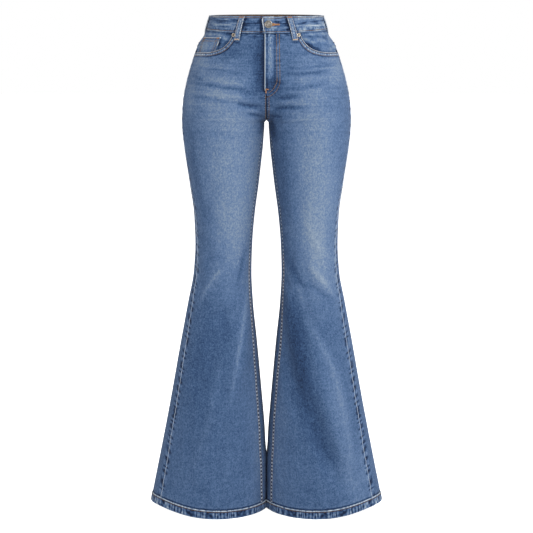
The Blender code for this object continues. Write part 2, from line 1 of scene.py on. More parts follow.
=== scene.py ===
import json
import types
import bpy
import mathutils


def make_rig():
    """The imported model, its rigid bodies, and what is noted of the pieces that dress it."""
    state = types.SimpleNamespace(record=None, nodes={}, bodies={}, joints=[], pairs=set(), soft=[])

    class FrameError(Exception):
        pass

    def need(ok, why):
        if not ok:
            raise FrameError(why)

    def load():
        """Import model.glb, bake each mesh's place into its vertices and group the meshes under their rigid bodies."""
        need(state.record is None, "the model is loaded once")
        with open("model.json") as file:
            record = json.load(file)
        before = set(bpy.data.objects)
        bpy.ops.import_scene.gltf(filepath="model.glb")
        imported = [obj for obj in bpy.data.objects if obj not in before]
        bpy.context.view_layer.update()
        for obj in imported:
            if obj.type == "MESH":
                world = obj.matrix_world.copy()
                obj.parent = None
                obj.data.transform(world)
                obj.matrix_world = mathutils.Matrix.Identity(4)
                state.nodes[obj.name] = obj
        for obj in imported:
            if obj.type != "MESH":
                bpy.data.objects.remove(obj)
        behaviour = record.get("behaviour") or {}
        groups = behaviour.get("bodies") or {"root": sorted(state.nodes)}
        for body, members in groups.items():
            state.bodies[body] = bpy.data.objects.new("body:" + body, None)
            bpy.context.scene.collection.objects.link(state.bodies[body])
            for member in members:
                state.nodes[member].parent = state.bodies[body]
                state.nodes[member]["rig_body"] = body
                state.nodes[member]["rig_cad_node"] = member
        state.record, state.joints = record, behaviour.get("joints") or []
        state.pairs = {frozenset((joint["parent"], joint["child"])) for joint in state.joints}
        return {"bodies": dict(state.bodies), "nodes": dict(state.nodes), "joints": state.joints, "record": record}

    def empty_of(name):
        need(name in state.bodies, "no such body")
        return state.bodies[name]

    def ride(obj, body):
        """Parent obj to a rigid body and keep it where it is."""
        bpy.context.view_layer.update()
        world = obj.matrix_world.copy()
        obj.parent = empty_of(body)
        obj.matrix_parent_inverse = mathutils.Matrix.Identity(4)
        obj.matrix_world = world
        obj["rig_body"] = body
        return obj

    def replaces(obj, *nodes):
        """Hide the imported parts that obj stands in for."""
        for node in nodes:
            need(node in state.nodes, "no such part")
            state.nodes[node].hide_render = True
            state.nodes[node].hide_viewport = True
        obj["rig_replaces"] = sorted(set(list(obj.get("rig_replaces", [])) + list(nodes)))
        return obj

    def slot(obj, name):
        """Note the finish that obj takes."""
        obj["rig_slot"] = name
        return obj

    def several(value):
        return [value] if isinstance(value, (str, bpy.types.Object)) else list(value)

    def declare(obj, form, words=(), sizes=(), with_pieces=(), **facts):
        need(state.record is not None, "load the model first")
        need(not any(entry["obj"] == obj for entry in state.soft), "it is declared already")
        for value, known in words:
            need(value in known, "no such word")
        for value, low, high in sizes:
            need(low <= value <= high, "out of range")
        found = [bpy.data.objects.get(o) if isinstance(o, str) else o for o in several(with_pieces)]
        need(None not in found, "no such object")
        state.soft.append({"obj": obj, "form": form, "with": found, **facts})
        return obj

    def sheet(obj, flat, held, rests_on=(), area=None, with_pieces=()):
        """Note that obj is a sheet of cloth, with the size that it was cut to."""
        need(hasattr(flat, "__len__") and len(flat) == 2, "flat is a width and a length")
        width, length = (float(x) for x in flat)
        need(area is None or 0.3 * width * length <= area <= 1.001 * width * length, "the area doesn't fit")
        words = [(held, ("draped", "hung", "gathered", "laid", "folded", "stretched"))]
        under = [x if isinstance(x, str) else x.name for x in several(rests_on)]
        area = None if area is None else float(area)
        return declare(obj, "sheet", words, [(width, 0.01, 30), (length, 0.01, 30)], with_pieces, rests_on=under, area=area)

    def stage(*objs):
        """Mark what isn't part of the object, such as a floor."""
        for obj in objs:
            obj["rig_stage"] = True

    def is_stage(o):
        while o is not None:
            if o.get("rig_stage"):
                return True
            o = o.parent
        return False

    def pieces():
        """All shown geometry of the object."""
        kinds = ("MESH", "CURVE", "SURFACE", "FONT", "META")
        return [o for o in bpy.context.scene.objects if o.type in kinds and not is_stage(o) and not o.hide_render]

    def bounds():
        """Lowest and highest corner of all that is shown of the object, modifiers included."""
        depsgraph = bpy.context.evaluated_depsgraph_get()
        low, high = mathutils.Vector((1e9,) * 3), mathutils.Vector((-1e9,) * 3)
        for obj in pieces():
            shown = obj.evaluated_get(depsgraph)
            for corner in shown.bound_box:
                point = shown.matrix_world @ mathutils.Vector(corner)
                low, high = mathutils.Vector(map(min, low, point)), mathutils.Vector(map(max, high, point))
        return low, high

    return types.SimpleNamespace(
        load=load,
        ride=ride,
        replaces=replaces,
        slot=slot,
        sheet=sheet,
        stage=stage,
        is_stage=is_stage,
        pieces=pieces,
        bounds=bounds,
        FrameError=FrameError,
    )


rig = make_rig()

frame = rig.load()

import json
from math import cos, pi, radians, sin

import bpy
import numpy as np
from mathutils import Vector

cadBox = [list(corner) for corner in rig.bounds()]
print("frame loaded")

# Metres, +Z up. The front faces -Y and +X is the wearer's left.

# heights and seams of the whole garment
cut = {
    "waistTop": 0.014, "crotch": -0.219, "legBottom": -1.069, "hem": -1.062, "hemTilt": 0.0098, "hemLift": 0.0098,
    "hemCorner": 0.0042, "hemSlack": (0.006, 0.011), "hemDepth": 0.0193, "legsTouch": -0.72, "legRoom": 0.0003,
    "waistSlope": 0.04, "bandLevel": -0.02, "bandHeight": 0.0295, "bandDip": 0.004, "bandProud": 0.001,
    "bandThick": 0.0026, "scoopTopX": 0.075, "scoopSideZ": -0.076, "scoopLevel": -0.060, "scoopSquare": 4,
    "scoopTurn": 0.02, "yokeSide": 0.034, "yokeBack": 0.068, "denim": 0.0015, "gap": 0.0004,
}

# the left half's outline at each height: outer and inner sides, front and back faces, where it is widest,
# the rounding at the centre seam, and the seams' places in degrees round from the outermost point
sectionNames = ("z", "outer", "innerFront", "innerBack", "front", "back", "mid", "bridge", "sideSeam", "inseam")
sections = np.array([
    (0.015, 0.1142, -0.1142, -0.1142, -0.0870, 0.0890, 0.000, 0.000, 7, 180),
    (-0.012, 0.1190, -0.1190, -0.1190, -0.0890, 0.0930, 0.000, 0.004, 7, 180),
    (-0.034, 0.1270, -0.1270, -0.1270, -0.0910, 0.0970, 0.000, 0.008, 7, 180),
    (-0.060, 0.1432, -0.1400, -0.1432, -0.0930, 0.1030, 0.000, 0.014, 8, 180),
    (-0.100, 0.1580, -0.1120, -0.1300, -0.0945, 0.1110, 0.002, 0.026, 8, 180),
    (-0.140, 0.1692, -0.0830, -0.0950, -0.0945, 0.1150, 0.004, 0.036, 9, 180),
    (-0.175, 0.1760, -0.0500, -0.0560, -0.0922, 0.1125, 0.005, 0.034, 9, 180),
    (-0.203, 0.1784, -0.0190, -0.0210, -0.0892, 0.1060, 0.005, 0.018, 10, 180),
    (-0.219, 0.1789, 0.0000, 0.0000, -0.0874, 0.1015, 0.005, 0.003, 10, 180),
    (-0.2225, 0.1788, 0.0026, 0.0026, -0.0870, 0.1003, 0.0047, 0.0026, 10, 177),
    (-0.232, 0.1785, 0.0029, 0.0029, -0.0860, 0.0975, 0.004, 0.002, 10, 172),
    (-0.243, 0.1778, 0.0041, 0.0041, -0.0852, 0.0950, 0.004, 0.0014, 10, 169),
    (-0.280, 0.1738, 0.0082, 0.0082, -0.0830, 0.0880, 0.003, 0.000, 12, 163),
    (-0.350, 0.1633, 0.0162, 0.0162, -0.0795, 0.0780, 0.000, 0.000, 15, 162),
    (-0.420, 0.1538, 0.0254, 0.0254, -0.0745, 0.0690, -0.003, 0.000, 20, 161),
    (-0.480, 0.1518, 0.0303, 0.0303, -0.0710, 0.0630, -0.004, 0.000, 24, 161),
    (-0.540, 0.1555, 0.0320, 0.0320, -0.0700, 0.0630, -0.004, 0.000, 27, 160),
    (-0.605, 0.1678, 0.0289, 0.0289, -0.0715, 0.0665, -0.003, 0.000, 30, 158),
    (-0.690, 0.1839, 0.0203, 0.0203, -0.0745, 0.0715, -0.002, 0.000, 31, 157),
    (-0.820, 0.2075, 0.0087, 0.0087, -0.0795, 0.0780, 0.000, 0.000, 31, 156),
    (-0.871, 0.2173, 0.0045, 0.0045, -0.0815, 0.0804, 0.000, 0.000, 31, 156),
    (-0.892, 0.2214, 0.0034, 0.0034, -0.0823, 0.0814, 0.000, 0.000, 31, 156),
    (-0.913, 0.2256, 0.0026, 0.0026, -0.0831, 0.0824, 0.000, 0.000, 32, 156),
    (-0.934, 0.2298, 0.0010, 0.0010, -0.0839, 0.0833, 0.000, 0.000, 32, 156),
    (-0.950, 0.2330, -0.0006, -0.0006, -0.0845, 0.0840, 0.000, 0.000, 32, 156),
    (-1.070, 0.2575, -0.0016, -0.0016, -0.0885, 0.0890, 0.000, 0.000, 33, 158),
])

# the largest folds: across is 0 at the inseam side and 1 at the side seam side
# acrossA, zA, acrossB, zB, height, width
folds = {
    ("right", "front"): (
        (0.05, -0.570, 0.40, -0.880, 0.0065, 0.016), (0.38, -0.600, 0.74, -0.800, -0.0070, 0.028),
        (0.42, -0.790, 0.66, -0.990, 0.0060, 0.019), (0.30, -0.515, 0.78, -0.592, 0.0015, 0.012),
        (0.02, -0.196, 0.50, -0.176, -0.0022, 0.008),
    ),
    ("left", "front"): (
        (0.04, -0.545, 0.44, -0.810, 0.0065, 0.014), (0.02, -0.640, 0.34, -0.860, -0.0055, 0.016),
        (0.42, -0.650, 0.77, -0.960, 0.0085, 0.021), (0.40, -0.790, 0.66, -1.010, -0.0075, 0.020),
        (0.44, -0.515, 0.88, -0.600, 0.0035, 0.012), (0.02, -0.192, 0.46, -0.180, -0.0020, 0.009),
    ),
    ("right", "back"): (
        (0.20, -0.560, 0.46, -0.940, 0.0075, 0.022), (0.70, -0.580, 0.58, -1.000, -0.0085, 0.028),
        (0.12, -0.500, 0.80, -0.530, -0.0040, 0.012), (0.10, -0.258, 0.70, -0.246, -0.0040, 0.012),
    ),
    ("left", "back"): (
        (0.22, -0.550, 0.40, -0.920, -0.0080, 0.026), (0.64, -0.580, 0.74, -0.980, 0.0080, 0.022),
        (0.16, -0.518, 0.84, -0.500, -0.0040, 0.012), (0.10, -0.262, 0.66, -0.248, -0.0036, 0.012),
    ),
}

# smaller creases in millimetres: a bent line through three points, its height (a trough is negative), how far
# it reaches above and below the line, and its tone: painted shade where negative, wear with painted highlight where
# positive
# x1, z1, x2, z2, x3, z3, height, above, below, tone
creases = {
    "front": (
        # hip and crotch, right front
        (-148, -107, -100, -112, -45, -119, -0.6, 4, 3, -0.60),
        (-125, -105, -100, -106, -70, -109, 0.4, 3, 3, 0.30), (-82, -94, -60, -95, -36, -98, 0.4, 5, 5, 0.28),
        (-157, -122, -148, -126, -126, -134, -0.5, 4, 4, -0.80),
        (-124, -130, -85, -135, -45, -141, 0.7, 5, 5, 0.55),
        (-162, -138, -95, -146, -28, -159, -1.0, 4.5, 4, -1.00),
        (-152, -158, -126, -161, -100, -163, 0.5, 5, 5, 0.30), (-105, -163, -60, -169, -12, -175, 0.8, 6, 6, 0.50),
        (-163, -166, -113, -171, -50, -183, -0.8, 4, 4, -0.70),
        (-60, -181, -36, -186, -10, -188, -1.4, 4.5, 4, -1.25), (-52, -195, -32, -196, -12, -197, 0.6, 4, 4, 0.45),
        (-42, -202, -24, -205, -5, -209, -1.2, 4, 3.5, -1.20), (-120, -214, -70, -218, -22, -224, 0.6, 8, 8, 0.17),
        (-140, -78, -110, -88, -70, -92, -0.4, 6, 6, -0.20), (-128, -238, -90, -246, -50, -252, -0.5, 8, 8, -0.17),
        # shadows beside the ends of the belt loops
        (-69, -37, -69, -45, -70, -53, 0.0, 3, 3, -0.80), (-52, -37, -53, -45, -53, -55, 0.0, 4, 4, -1.10),
        (50, -37, 51, -45, 51, -52, 0.0, 3, 3, -0.80), (66, -37, 67, -44, 67, -52, 0.0, 4, 4, -1.10),
        (-68, -55, -60, -56.5, -53, -56, 0.0, 2.2, 2.2, -1.60),
        (51, -54.5, 59, -55.5, 66, -55, 0.0, 2.2, 2.2, -1.60),
        # hip and crotch, left front
        (36, -108, 78, -108, 112, -104, -0.6, 3.5, 3, -0.65),
        (100, -105, 126, -103, 148, -100, -0.5, 3.5, 3, -0.65), (40, -114, 92, -112, 146, -106, 0.5, 3, 3, 0.35),
        (34, -122, 92, -117.5, 140, -111, -0.9, 3.5, 3.5, -1.00), (40, -130, 88, -129, 140, -122, 0.5, 6, 6, 0.22),
        (50, -140, 62, -139.5, 76, -138, -0.4, 3.5, 3.5, -0.40), (36, -150, 92, -146, 132, -138, -0.8, 4, 4, -0.85),
        (44, -156, 84, -154, 124, -148, 0.4, 5, 5, 0.20), (22, -171, 43, -168, 74, -162, -1.1, 4.5, 4.5, -1.00),
        (14, -184, 40, -177, 82, -179, 0.8, 5, 5, 0.55), (14, -191.5, 40, -191, 92, -187, -1.1, 4.5, 4.5, -1.00),
        (80, -187.6, 110, -188, 140, -184, -0.3, 4, 4, -0.25), (30, -199, 54, -198, 84, -197, 0.4, 6, 6, 0.20),
        (5, -206, 14, -208, 34, -209, -1.0, 4, 4, -0.90), (28, -220, 62, -214, 110, -204, 0.7, 7, 8, 0.20),
        (96, -160, 126, -154, 158, -143, -0.4, 6, 6, -0.20), (84, -240, 120, -236, 150, -226, -0.4, 8, 8, -0.14),
        # thighs: a shaded line inside each edge
        (-158, -232, -149, -325, -121, -440, -0.3, 8, 7, -0.45), (30, -240, 36, -330, 44, -440, 0.0, 12, 12, -0.30),
        (-12, -240, -20, -340, -32, -460, 0.0, 7, 7, 0.60), (-9, -213, -10, -228, -13, -248, 0.0, 5, 5, -1.20),
        (9, -211, 12, -230, 18, -262, 0.0, 6, 6, -1.40),
        # knees
        (-118, -470, -92, -476, -62, -470, -0.4, 8, 8, -0.10),
        (-134, -529, -107, -500, -90, -515, -0.6, 6, 6, -0.35),
        (-86, -524, -112, -548, -142, -604, 1.1, 4, 5, 0.80), (-44, -478, -52, -520, -63, -568, -1.0, 5, 5, -1.00),
        (-32, -520, -38, -550, -42, -600, 0.6, 4, 4, 0.55), (68, -410, 92, -450, 112, -505, 0.3, 9, 9, 0.25),
        (88, -516, 112, -544, 142, -588, 1.4, 6, 7, 0.75), (40, -480, 60, -535, 84, -570, -1.0, 8, 8, -0.60),
        (84, -554, 106, -570, 138, -596, -0.8, 4, 6, -0.60), (62, -560, 72, -580, 78, -612, 0.4, 6, 6, 0.60),
        (36, -515, 46, -540, 60, -585, 0.5, 3.5, 3.5, 0.50),
        # ridges and troughs in the flare
        (-41, -575, -57, -680, -80, -825, 1.2, 4.5, 4, 0.85), (-98, -720, -118, -830, -154, -955, 0.8, 7, 6, 0.32),
        (-92, -610, -86, -640, -84, -690, -0.6, 9, 9, -0.30),
        (-128, -592, -127, -600, -124, -612, -0.4, 8, 8, -0.35),
        (44, -585, 72, -690, 86, -830, -2.6, 17, 17, -0.60), (84, -780, 110, -880, 150, -960, -2.0, 15, 18, -0.30),
        (134, -915, 142, -930, 154, -945, -0.6, 8, 8, -0.35), (34, -548, 58, -620, 80, -710, 0.8, 4, 6, 0.20),
        (78, -612, 104, -670, 130, -735, 0.6, 8, 8, 0.35), (98, -650, 140, -745, 170, -868, 1.2, 8, 8, 0.55),
        (158, -830, 174, -900, 176, -990, 1.0, 8, 8, 0.35), (60, -900, 64, -960, 58, -1030, 0.5, 10, 9, 0.08),
        (-180, -880, -196, -940, -206, -1020, -0.6, 9, 9, -0.10),
        (-30, -880, -44, -940, -52, -1030, -0.6, 9, 9, -0.10), (24, -860, 32, -920, 30, -1010, -0.6, 9, 9, -0.10),
    ),
    "facing": (
        # pocket facings: painted shadows inside the pocket mouths and beside the coin pocket, and painted highlights on
        # the folds above them
        (74, -53, 92, -62, 114, -70, 0.0, 3, 4.5, -2.40), (76, -49, 92, -54, 114, -60, 0.0, 2.5, 2.5, 0.80),
        (78, -41, 100, -38, 128, -37, 0.0, 2.5, 2.5, 1.00), (74, -45, 96, -44, 122, -47, 0.0, 2, 2, -0.80),
        (98, -56, 116, -60, 134, -66, 0.0, 5, 5, -0.25), (-94, -47, -97, -57, -101, -68, 0.0, 3.5, 3.5, -2.60),
        (-72, -43, -80, -53, -93, -64, 0.0, 3, 3, -1.40), (-128, -42, -110, -39, -84, -44, 0.0, 2.5, 2.5, 1.00),
        (-92, -37, -80, -39, -70, -38, 0.0, 2.5, 2.5, -1.60), (-88, -44, -84, -50, -82, -56, 0.0, 2, 2, 0.60),
    ),
    "back": (
        # back: under the seat, seat, backs of the knees, calves and flare
        (-12, -236, -66, -258, -132, -246, -1.8, 8, 6, -0.60),
        (-18, -256, -62, -276, -112, -270, -1.0, 7, 7, -0.35), (-10, -222, -52, -236, -96, -230, 0.9, 6, 7, 0.20),
        (12, -238, 62, -262, 128, -252, -1.8, 8, 6, -0.60), (20, -262, 66, -282, 104, -274, -0.9, 7, 7, -0.30),
        (10, -224, 54, -238, 100, -228, 0.9, 6, 7, 0.20), (-8, -180, -34, -170, -60, -150, -0.8, 6, 6, -0.20),
        (8, -186, 36, -178, 64, -160, -0.8, 6, 6, -0.20), (-150, -470, -96, -486, -44, -474, -1.5, 7, 6, -0.42),
        (-140, -500, -98, -512, -50, -504, -1.2, 7, 6, -0.34), (-146, -486, -100, -498, -50, -488, 0.9, 6, 6, 0.26),
        (-128, -528, -90, -538, -56, -532, -0.8, 8, 7, -0.20), (46, -478, 98, -492, 148, -474, -1.5, 7, 6, -0.42),
        (52, -508, 98, -518, 142, -504, -1.2, 7, 6, -0.34), (50, -494, 100, -504, 144, -490, 0.9, 6, 6, 0.26),
        (60, -534, 92, -544, 126, -536, -0.8, 8, 7, -0.20), (-60, -560, -84, -660, -96, -800, 1.2, 7, 6, 0.30),
        (-150, -600, -170, -720, -190, -880, 1.0, 9, 8, 0.20), (58, -560, 78, -650, 84, -780, 1.2, 6, 7, 0.30),
        (146, -600, 176, -720, 196, -900, 1.0, 9, 8, 0.20),
    ),
}

# where the cloth is washed paler, with painted light at the hip edges and painted shade where the amount is negative:
# a soft oval in millimetres, leaning by so much per metre of height
# x, z, reachX, reachZ, lean, amount
fadesAndShades = {
    "front": (
        (-100, -260, 95, 330, 0.0, 0.04), (-72, -345, 62, 215, 0.0, 0.19), (-104, -162, 46, 62, 0.0, 0.10),
        (100, -260, 95, 330, 0.0, 0.04), (108, -380, 46, 215, -0.11, 0.23), (104, -170, 50, 90, 0.0, 0.09),
        (62, -250, 46, 130, 0.0, -0.04), (0, -150, 60, 90, 0.0, -0.04), (-12, -870, 24, 190, 0.0, 0.11),
        (16, -900, 26, 170, 0.0, 0.08), (202, -985, 40, 70, -0.15, 0.09), (118, -505, 26, 62, -0.15, 0.08),
        (148, -92, 22, 48, 0.0, 0.19), (-142, -82, 20, 34, 0.0, 0.22), (-162, -158, 14, 40, 0.0, 0.18),
        (-115, -655, 48, 80, 0.0, -0.05), (-152, -780, 34, 110, -0.1, -0.04), (60, -730, 14, 140, -0.1, -0.05),
        (130, -645, 26, 60, 0.0, -0.06), (-125, -445, 17, 70, 0.0, -0.08), (-60, -465, 26, 80, 0.0, 0.06),
        (84, -480, 18, 90, 0.0, 0.04), (40, -765, 10, 45, -0.1, -0.05), (-14, -110, 15, 62, 0.0, -0.15),
        (16, -141, 15, 18, 0.0, -0.22), (-78, -76, 26, 16, 0.0, -0.12), (148, -800, 24, 160, -0.16, 0.09),
        (-128, -770, 46, 130, 0.0, -0.04), (134, -475, 13, 75, 0.0, -0.10), (128, -715, 26, 60, -0.2, -0.05),
        (66, -690, 20, 110, -0.20, -0.10), (100, -850, 30, 90, -0.30, -0.07), (-28, -330, 12, 160, 0.0, 0.05),
        (-38, -172, 16, 20, 0.0, -0.08), (10, -88, 10, 30, 0.0, 0.09),
    ),
    "back": (
        (-88, -150, 60, 84, 0.0, 0.21), (88, -150, 60, 84, 0.0, 0.21), (-88, -380, 48, 170, 0.0, 0.16),
        (92, -380, 48, 170, 0.0, 0.16), (-110, -720, 40, 170, 0.08, 0.05), (110, -720, 40, 170, -0.08, 0.05),
    ),
}

lattice = {"across": 193, "torsoRows": 170, "legRows": 470, "torsoPower": 1.4, "legPower": 1.1, "crowd": 0.7}
# the legs' contact waves a little, so no light comes through
contact = {"fade": 0.05, "reach": 0.004, "depth": 0.0011, "wave": 0.0026}
# the puckers that a seam draws up: how they slant, how far they reach and how high they are
puckers = {
    "side": {
        "pitch": 0.0165, "drift": 0.7, "length": 0.11, "seed": 20, "slant": 0.006, "reach": 0.0095, "height": 0.0005},
    "inseam": {
        "pitch": 0.0105, "drift": 0.6, "length": 0.07, "seed": 30, "slant": -0.004, "reach": 0.006, "height": 0.0003},
}
uneven = {"broadHeight": 0.00035, "broadLength": 0.046, "fineHeight": 0.00012, "fineLength": 0.015}
sides = {"left": 1, "right": -1}


def smooth(z, heights, values):
    # cubic pieces through the values, flat where they turn back, so the curve never overshoots
    order = np.argsort(heights)
    x, v = heights[order], values[order]
    step = np.diff(x)
    rise = np.diff(v) / step
    sameWay = rise[:-1] * rise[1:] > 0
    slope = np.zeros_like(v)
    slope[1:-1] = np.where(sameWay, 2 * rise[:-1] * rise[1:] / np.where(sameWay, rise[:-1] + rise[1:], 1), 0)
    slope[0], slope[-1] = rise[0], rise[-1]
    i = np.clip(np.searchsorted(x, z) - 1, 0, len(step) - 1)
    t = (z - x[i]) / step[i]
    ends = v[i] * (1 + 2 * t) * (1 - t) ** 2 + v[i + 1] * t * t * (3 - 2 * t)
    return ends + step[i] * (slope[i] * t * (1 - t) ** 2 - slope[i + 1] * t * t * (1 - t))


def sizeAt(name, z):
    return smooth(z, sections[:, 0], sections[:, sectionNames.index(name)])


def ease(share):
    # 0 to 1 with a soft start and end
    s = np.clip(share, 0, 1)
    return s * s * (3 - 2 * s)


def crowd(t, amount):
    # even steps of 0 to 1 made smaller at both ends and larger in the middle
    return t - amount * np.sin(2 * pi * t) / (2 * pi)


def evenly(count, amount=0.0):
    # 0 to 1 in so many steps, crowded at the ends
    return crowd(np.linspace(0, 1, count + 1), amount)


def bell(away, width):
    # 1 on a line, falling softly to nothing about two widths from it
    return np.exp(-((away / width) ** 2))


def shades(away, rows):
    # soft lines side by side: each row is a place, a width and an amount
    return sum(amount * bell(away - place, width) for place, width, amount in rows)


def softNoise(a, b, length, seed, count=16):
    # a sum of plane waves with random headings, about one wavelength long, roughly -1 to 1
    rng = np.random.default_rng(seed)
    heading, phase = rng.uniform(0, pi, count), rng.uniform(0, 2 * pi, count)
    wave = length * rng.uniform(0.7, 1.6, count)
    total = 0
    for h, w, p in zip(heading, wave, phase):
        total = total + np.cos(2 * pi * (a * cos(h) + b * sin(h)) / w + p)
    return total / np.sqrt(count)


def beats(along, pitch, drift, length, seed, phase=0.0):
    # a sine along a seam whose beats wander a little from their even pitch
    return np.sin(2 * pi * (along / pitch + drift * softNoise(along, 0 * along, length, seed)) + phase)


def ringPoint(angle, z):
    # an ellipse between the section's sides, folded back on itself where it would cross the middle
    front = (angle >= 0) | (angle < -pi)
    outer, mid, bridge = (sizeAt(name, z) for name in ("outer", "mid", "bridge"))
    inner = np.where(front, sizeAt("innerFront", z), sizeAt("innerBack", z))
    centre, half = (outer + inner) / 2, (outer - inner) / 2
    stretch = outer / (np.hypot(outer, bridge) - bridge)
    flat = np.maximum(centre + half * np.cos(angle), 0) / stretch
    depth = np.where(front, sizeAt("front", z) - mid, sizeAt("back", z) - mid)
    return np.sqrt(flat * (flat + 2 * bridge)), mid + depth * np.abs(np.sin(angle))


def endAngle(part, z):
    # where a panel ends: at the middle above the crotch, at the inseam below it
    outer, inner = sizeAt("outer", z), sizeAt("inner" + part.title(), z)
    middle = np.arccos(-np.clip((outer + inner) / (outer - inner), 0, 1))
    inseam = np.radians(sizeAt("inseam", z))
    above = z > cut["crotch"]
    return np.where(above, middle, inseam) if part == "front" else np.where(above, -middle, inseam - 2 * pi)


def foldHeight(side, part, across, z, legWidth):
    # each fold is a smooth bump round the line between its two ends
    total = np.zeros_like(z)
    for acrossA, zA, acrossB, zB, height, width in folds[side, part]:
        runX, runZ = (acrossB - acrossA) * legWidth, zB - zA
        offX, offZ = (across - acrossA) * legWidth, z - zA
        long = np.hypot(runX, runZ)
        along, away = (offX * runX + offZ * runZ) / long**2, (offX * runZ - offZ * runX) / long
        total += height * np.sin(pi * np.clip(along, 0, 1)) ** 0.8 * bell(away, width)
    return total


def bentLine(start, middle, end, t):
    # a quadratic curve that passes through its three points
    return (1 - t) ** 2 * start + 2 * t * (1 - t) * (2 * middle - (start + end) / 2) + t * t * end


def creaseLines(part, sign, x, z, pieces=12):
    # the distance to each bent line, measured to its short pieces, shapes a soft trough or ridge and its painted shade
    # and highlight
    height, tone = np.zeros_like(x), np.zeros_like(x)
    t = np.linspace(0, 1, pieces + 1)
    for x1, z1, x2, z2, x3, z3, rise, upper, lower, shade in creases[part]:
        if x2 * sign < 0:
            continue
        lineX, lineZ = bentLine(x1, x2, x3, t) / 1000 * sign, bentLine(z1, z2, z3, t) / 1000
        reach = 3 * max(upper, lower) / 1000
        rows = ((z < lineZ.max() + reach) & (z > lineZ.min() - reach)).any(axis=1)
        if not rows.any():
            continue
        px, pz = x[rows], z[rows]
        best, along, above = np.full(px.shape, 9.0), np.zeros(px.shape), np.zeros(px.shape)
        for k in range(pieces):
            ax, az, runX, runZ = lineX[k], lineZ[k], lineX[k + 1] - lineX[k], lineZ[k + 1] - lineZ[k]
            s = np.clip(((px - ax) * runX + (pz - az) * runZ) / (runX**2 + runZ**2), 0, 1)
            away = np.hypot(px - ax - s * runX, pz - az - s * runZ)
            nearer = away < best
            best, along = np.where(nearer, away, best), np.where(nearer, (k + s) / pieces, along)
            above = np.where(nearer, (runX * (pz - az) - runZ * (px - ax)) * np.sign(runX), above)
        width = np.where(above > 0, upper, lower) / 1000
        shape = bell(best, width) * np.clip(np.sin(pi * along), 0, 1) ** 0.6
        height[rows] += rise / 1000 * shape
        tone[rows] += shade * shape
    return height, tone


def fadeAndShadeOvals(part, sign, x, z):
    total = np.zeros_like(x)
    for ovalX, ovalZ, reachX, reachZ, lean, amount in fadesAndShades[part]:
        if ovalX * sign >= 0:
            dz = z - ovalZ / 1000
            dx = x * sign - ovalX / 1000 - lean * dz * sign
            total += amount * np.exp(-np.abs(dx / reachX * 1000) ** 2.6 - np.abs(dz / reachZ * 1000) ** 2.6)
    return total


def gridNormals(points, part, z):
    around, down = np.gradient(points, axis=1), np.gradient(points, axis=0)
    normals = np.cross(around, down) if part == "front" else np.cross(down, around)
    normals[z > cut["crotch"], -1, 0] = 0
    return normals / np.linalg.norm(normals, axis=2, keepdims=True)


def seamPuckers(name, away, z, seed):
    # slanting waves that start at the seam and die out away from it
    row = puckers[name]
    wave = beats(z, row["pitch"], row["drift"], row["length"], row["seed"] + seed, away / row["slant"])
    return wave * np.exp(-away / row["reach"]) * ease(away / 0.002)


def pathLength(points):
    # the distance along a path to each of its points
    return np.concatenate([[0], np.cumsum(np.linalg.norm(np.diff(points, axis=0), axis=1))])


def makeFace(side, part):
    # one panel's smooth surface as a fine lattice, from the side seam (share 0) to the centre seam or inseam
    # (share 1), with its folds, creases and seam puckers pushed along the normals
    sign = sides[side]
    above = np.linspace(1, 0, lattice["torsoRows"]) ** lattice["torsoPower"]
    torso = cut["crotch"] + (cut["waistTop"] - cut["crotch"]) * above
    legDown = np.linspace(0, 1, lattice["legRows"])[1:] ** lattice["legPower"]
    rows = np.concatenate([torso, cut["crotch"] + (cut["legBottom"] - cut["crotch"]) * legDown])
    z = rows[:, None]
    start, end = np.radians(sizeAt("sideSeam", z)), endAngle(part, z)
    angle = start + (end - start) * (1 - np.linspace(1, 0, 4 * lattice["across"]) ** 2)
    x, y = ringPoint(angle, np.broadcast_to(z, angle.shape))
    x = np.where(z < cut["legsTouch"], np.maximum(x, cut["legRoom"]), x)
    near = ease((cut["legsTouch"] - z) / contact["fade"]) * bell(x, contact["reach"])
    x = x + sign * contact["depth"] * near * np.sin(y / contact["wave"])
    share = crowd(np.linspace(0, 1, lattice["across"]), lattice["crowd"])
    points, width = np.empty((len(z), len(share), 3)), np.empty(len(z))
    for i in range(len(z)):
        length = pathLength(np.stack([x[i], y[i]], axis=1))
        width[i] = length[-1]
        points[i, :, 0], points[i, :, 1] = (np.interp(share * width[i], length, values) for values in (x[i], y[i]))
    points[..., 2] = z
    normals = gridNormals(points, part, rows)
    outer, inner = sizeAt("outer", z), np.maximum(sizeAt("innerFront", z), 0)
    across = (points[..., 0] - inner) / (outer - inner)
    faceOn = np.clip(np.abs(normals[..., 1]) * 1.4, 0, 1)
    big = foldHeight(side, part, across, points[..., 2], outer - inner) * faceOn
    small, tone = creaseLines(part, sign, points[..., 0], points[..., 2])
    fromSide, fromInner = share * width[:, None], (1 - share) * width[:, None]
    small = small + uneven["broadHeight"] * softNoise(fromSide * 1.6, z, uneven["broadLength"], 3 + sign)
    small = small + uneven["fineHeight"] * softNoise(fromSide, z, uneven["fineLength"], 9)
    seed = sign + len(part)
    slanting = seamPuckers("side", fromSide, z, seed) * ease((cut["scoopSideZ"] - z) / 0.01)
    short = seamPuckers("inseam", fromInner, z, seed) * ease((cut["crotch"] - z) / 0.03)
    below = ease((-0.036 - z) / 0.012)
    drawn = puckers["side"]["height"] * slanting + puckers["inseam"]["height"] * short
    points = points + normals * (big + (small * faceOn + drawn) * below)[..., None]
    # tone: the creases' painted shade and wear, painted shade in the folds' troughs and painted highlight on their
    # ridges, and the seam puckers paler on their ridges; fade: washed paler ovals with painted light and shade ovals
    tone = tone * faceOn**0.5 + 7 * big + 0.22 * slanting * below
    fade = fadeAndShadeOvals(part, sign, points[..., 0], points[..., 2]) * faceOn**0.5
    return {
        "side": side, "part": part, "sign": sign, "z": rows, "share": share, "width": width,
        "points": points, "normals": gridNormals(points, part, rows), "fade": fade, "tone": tone,
    }


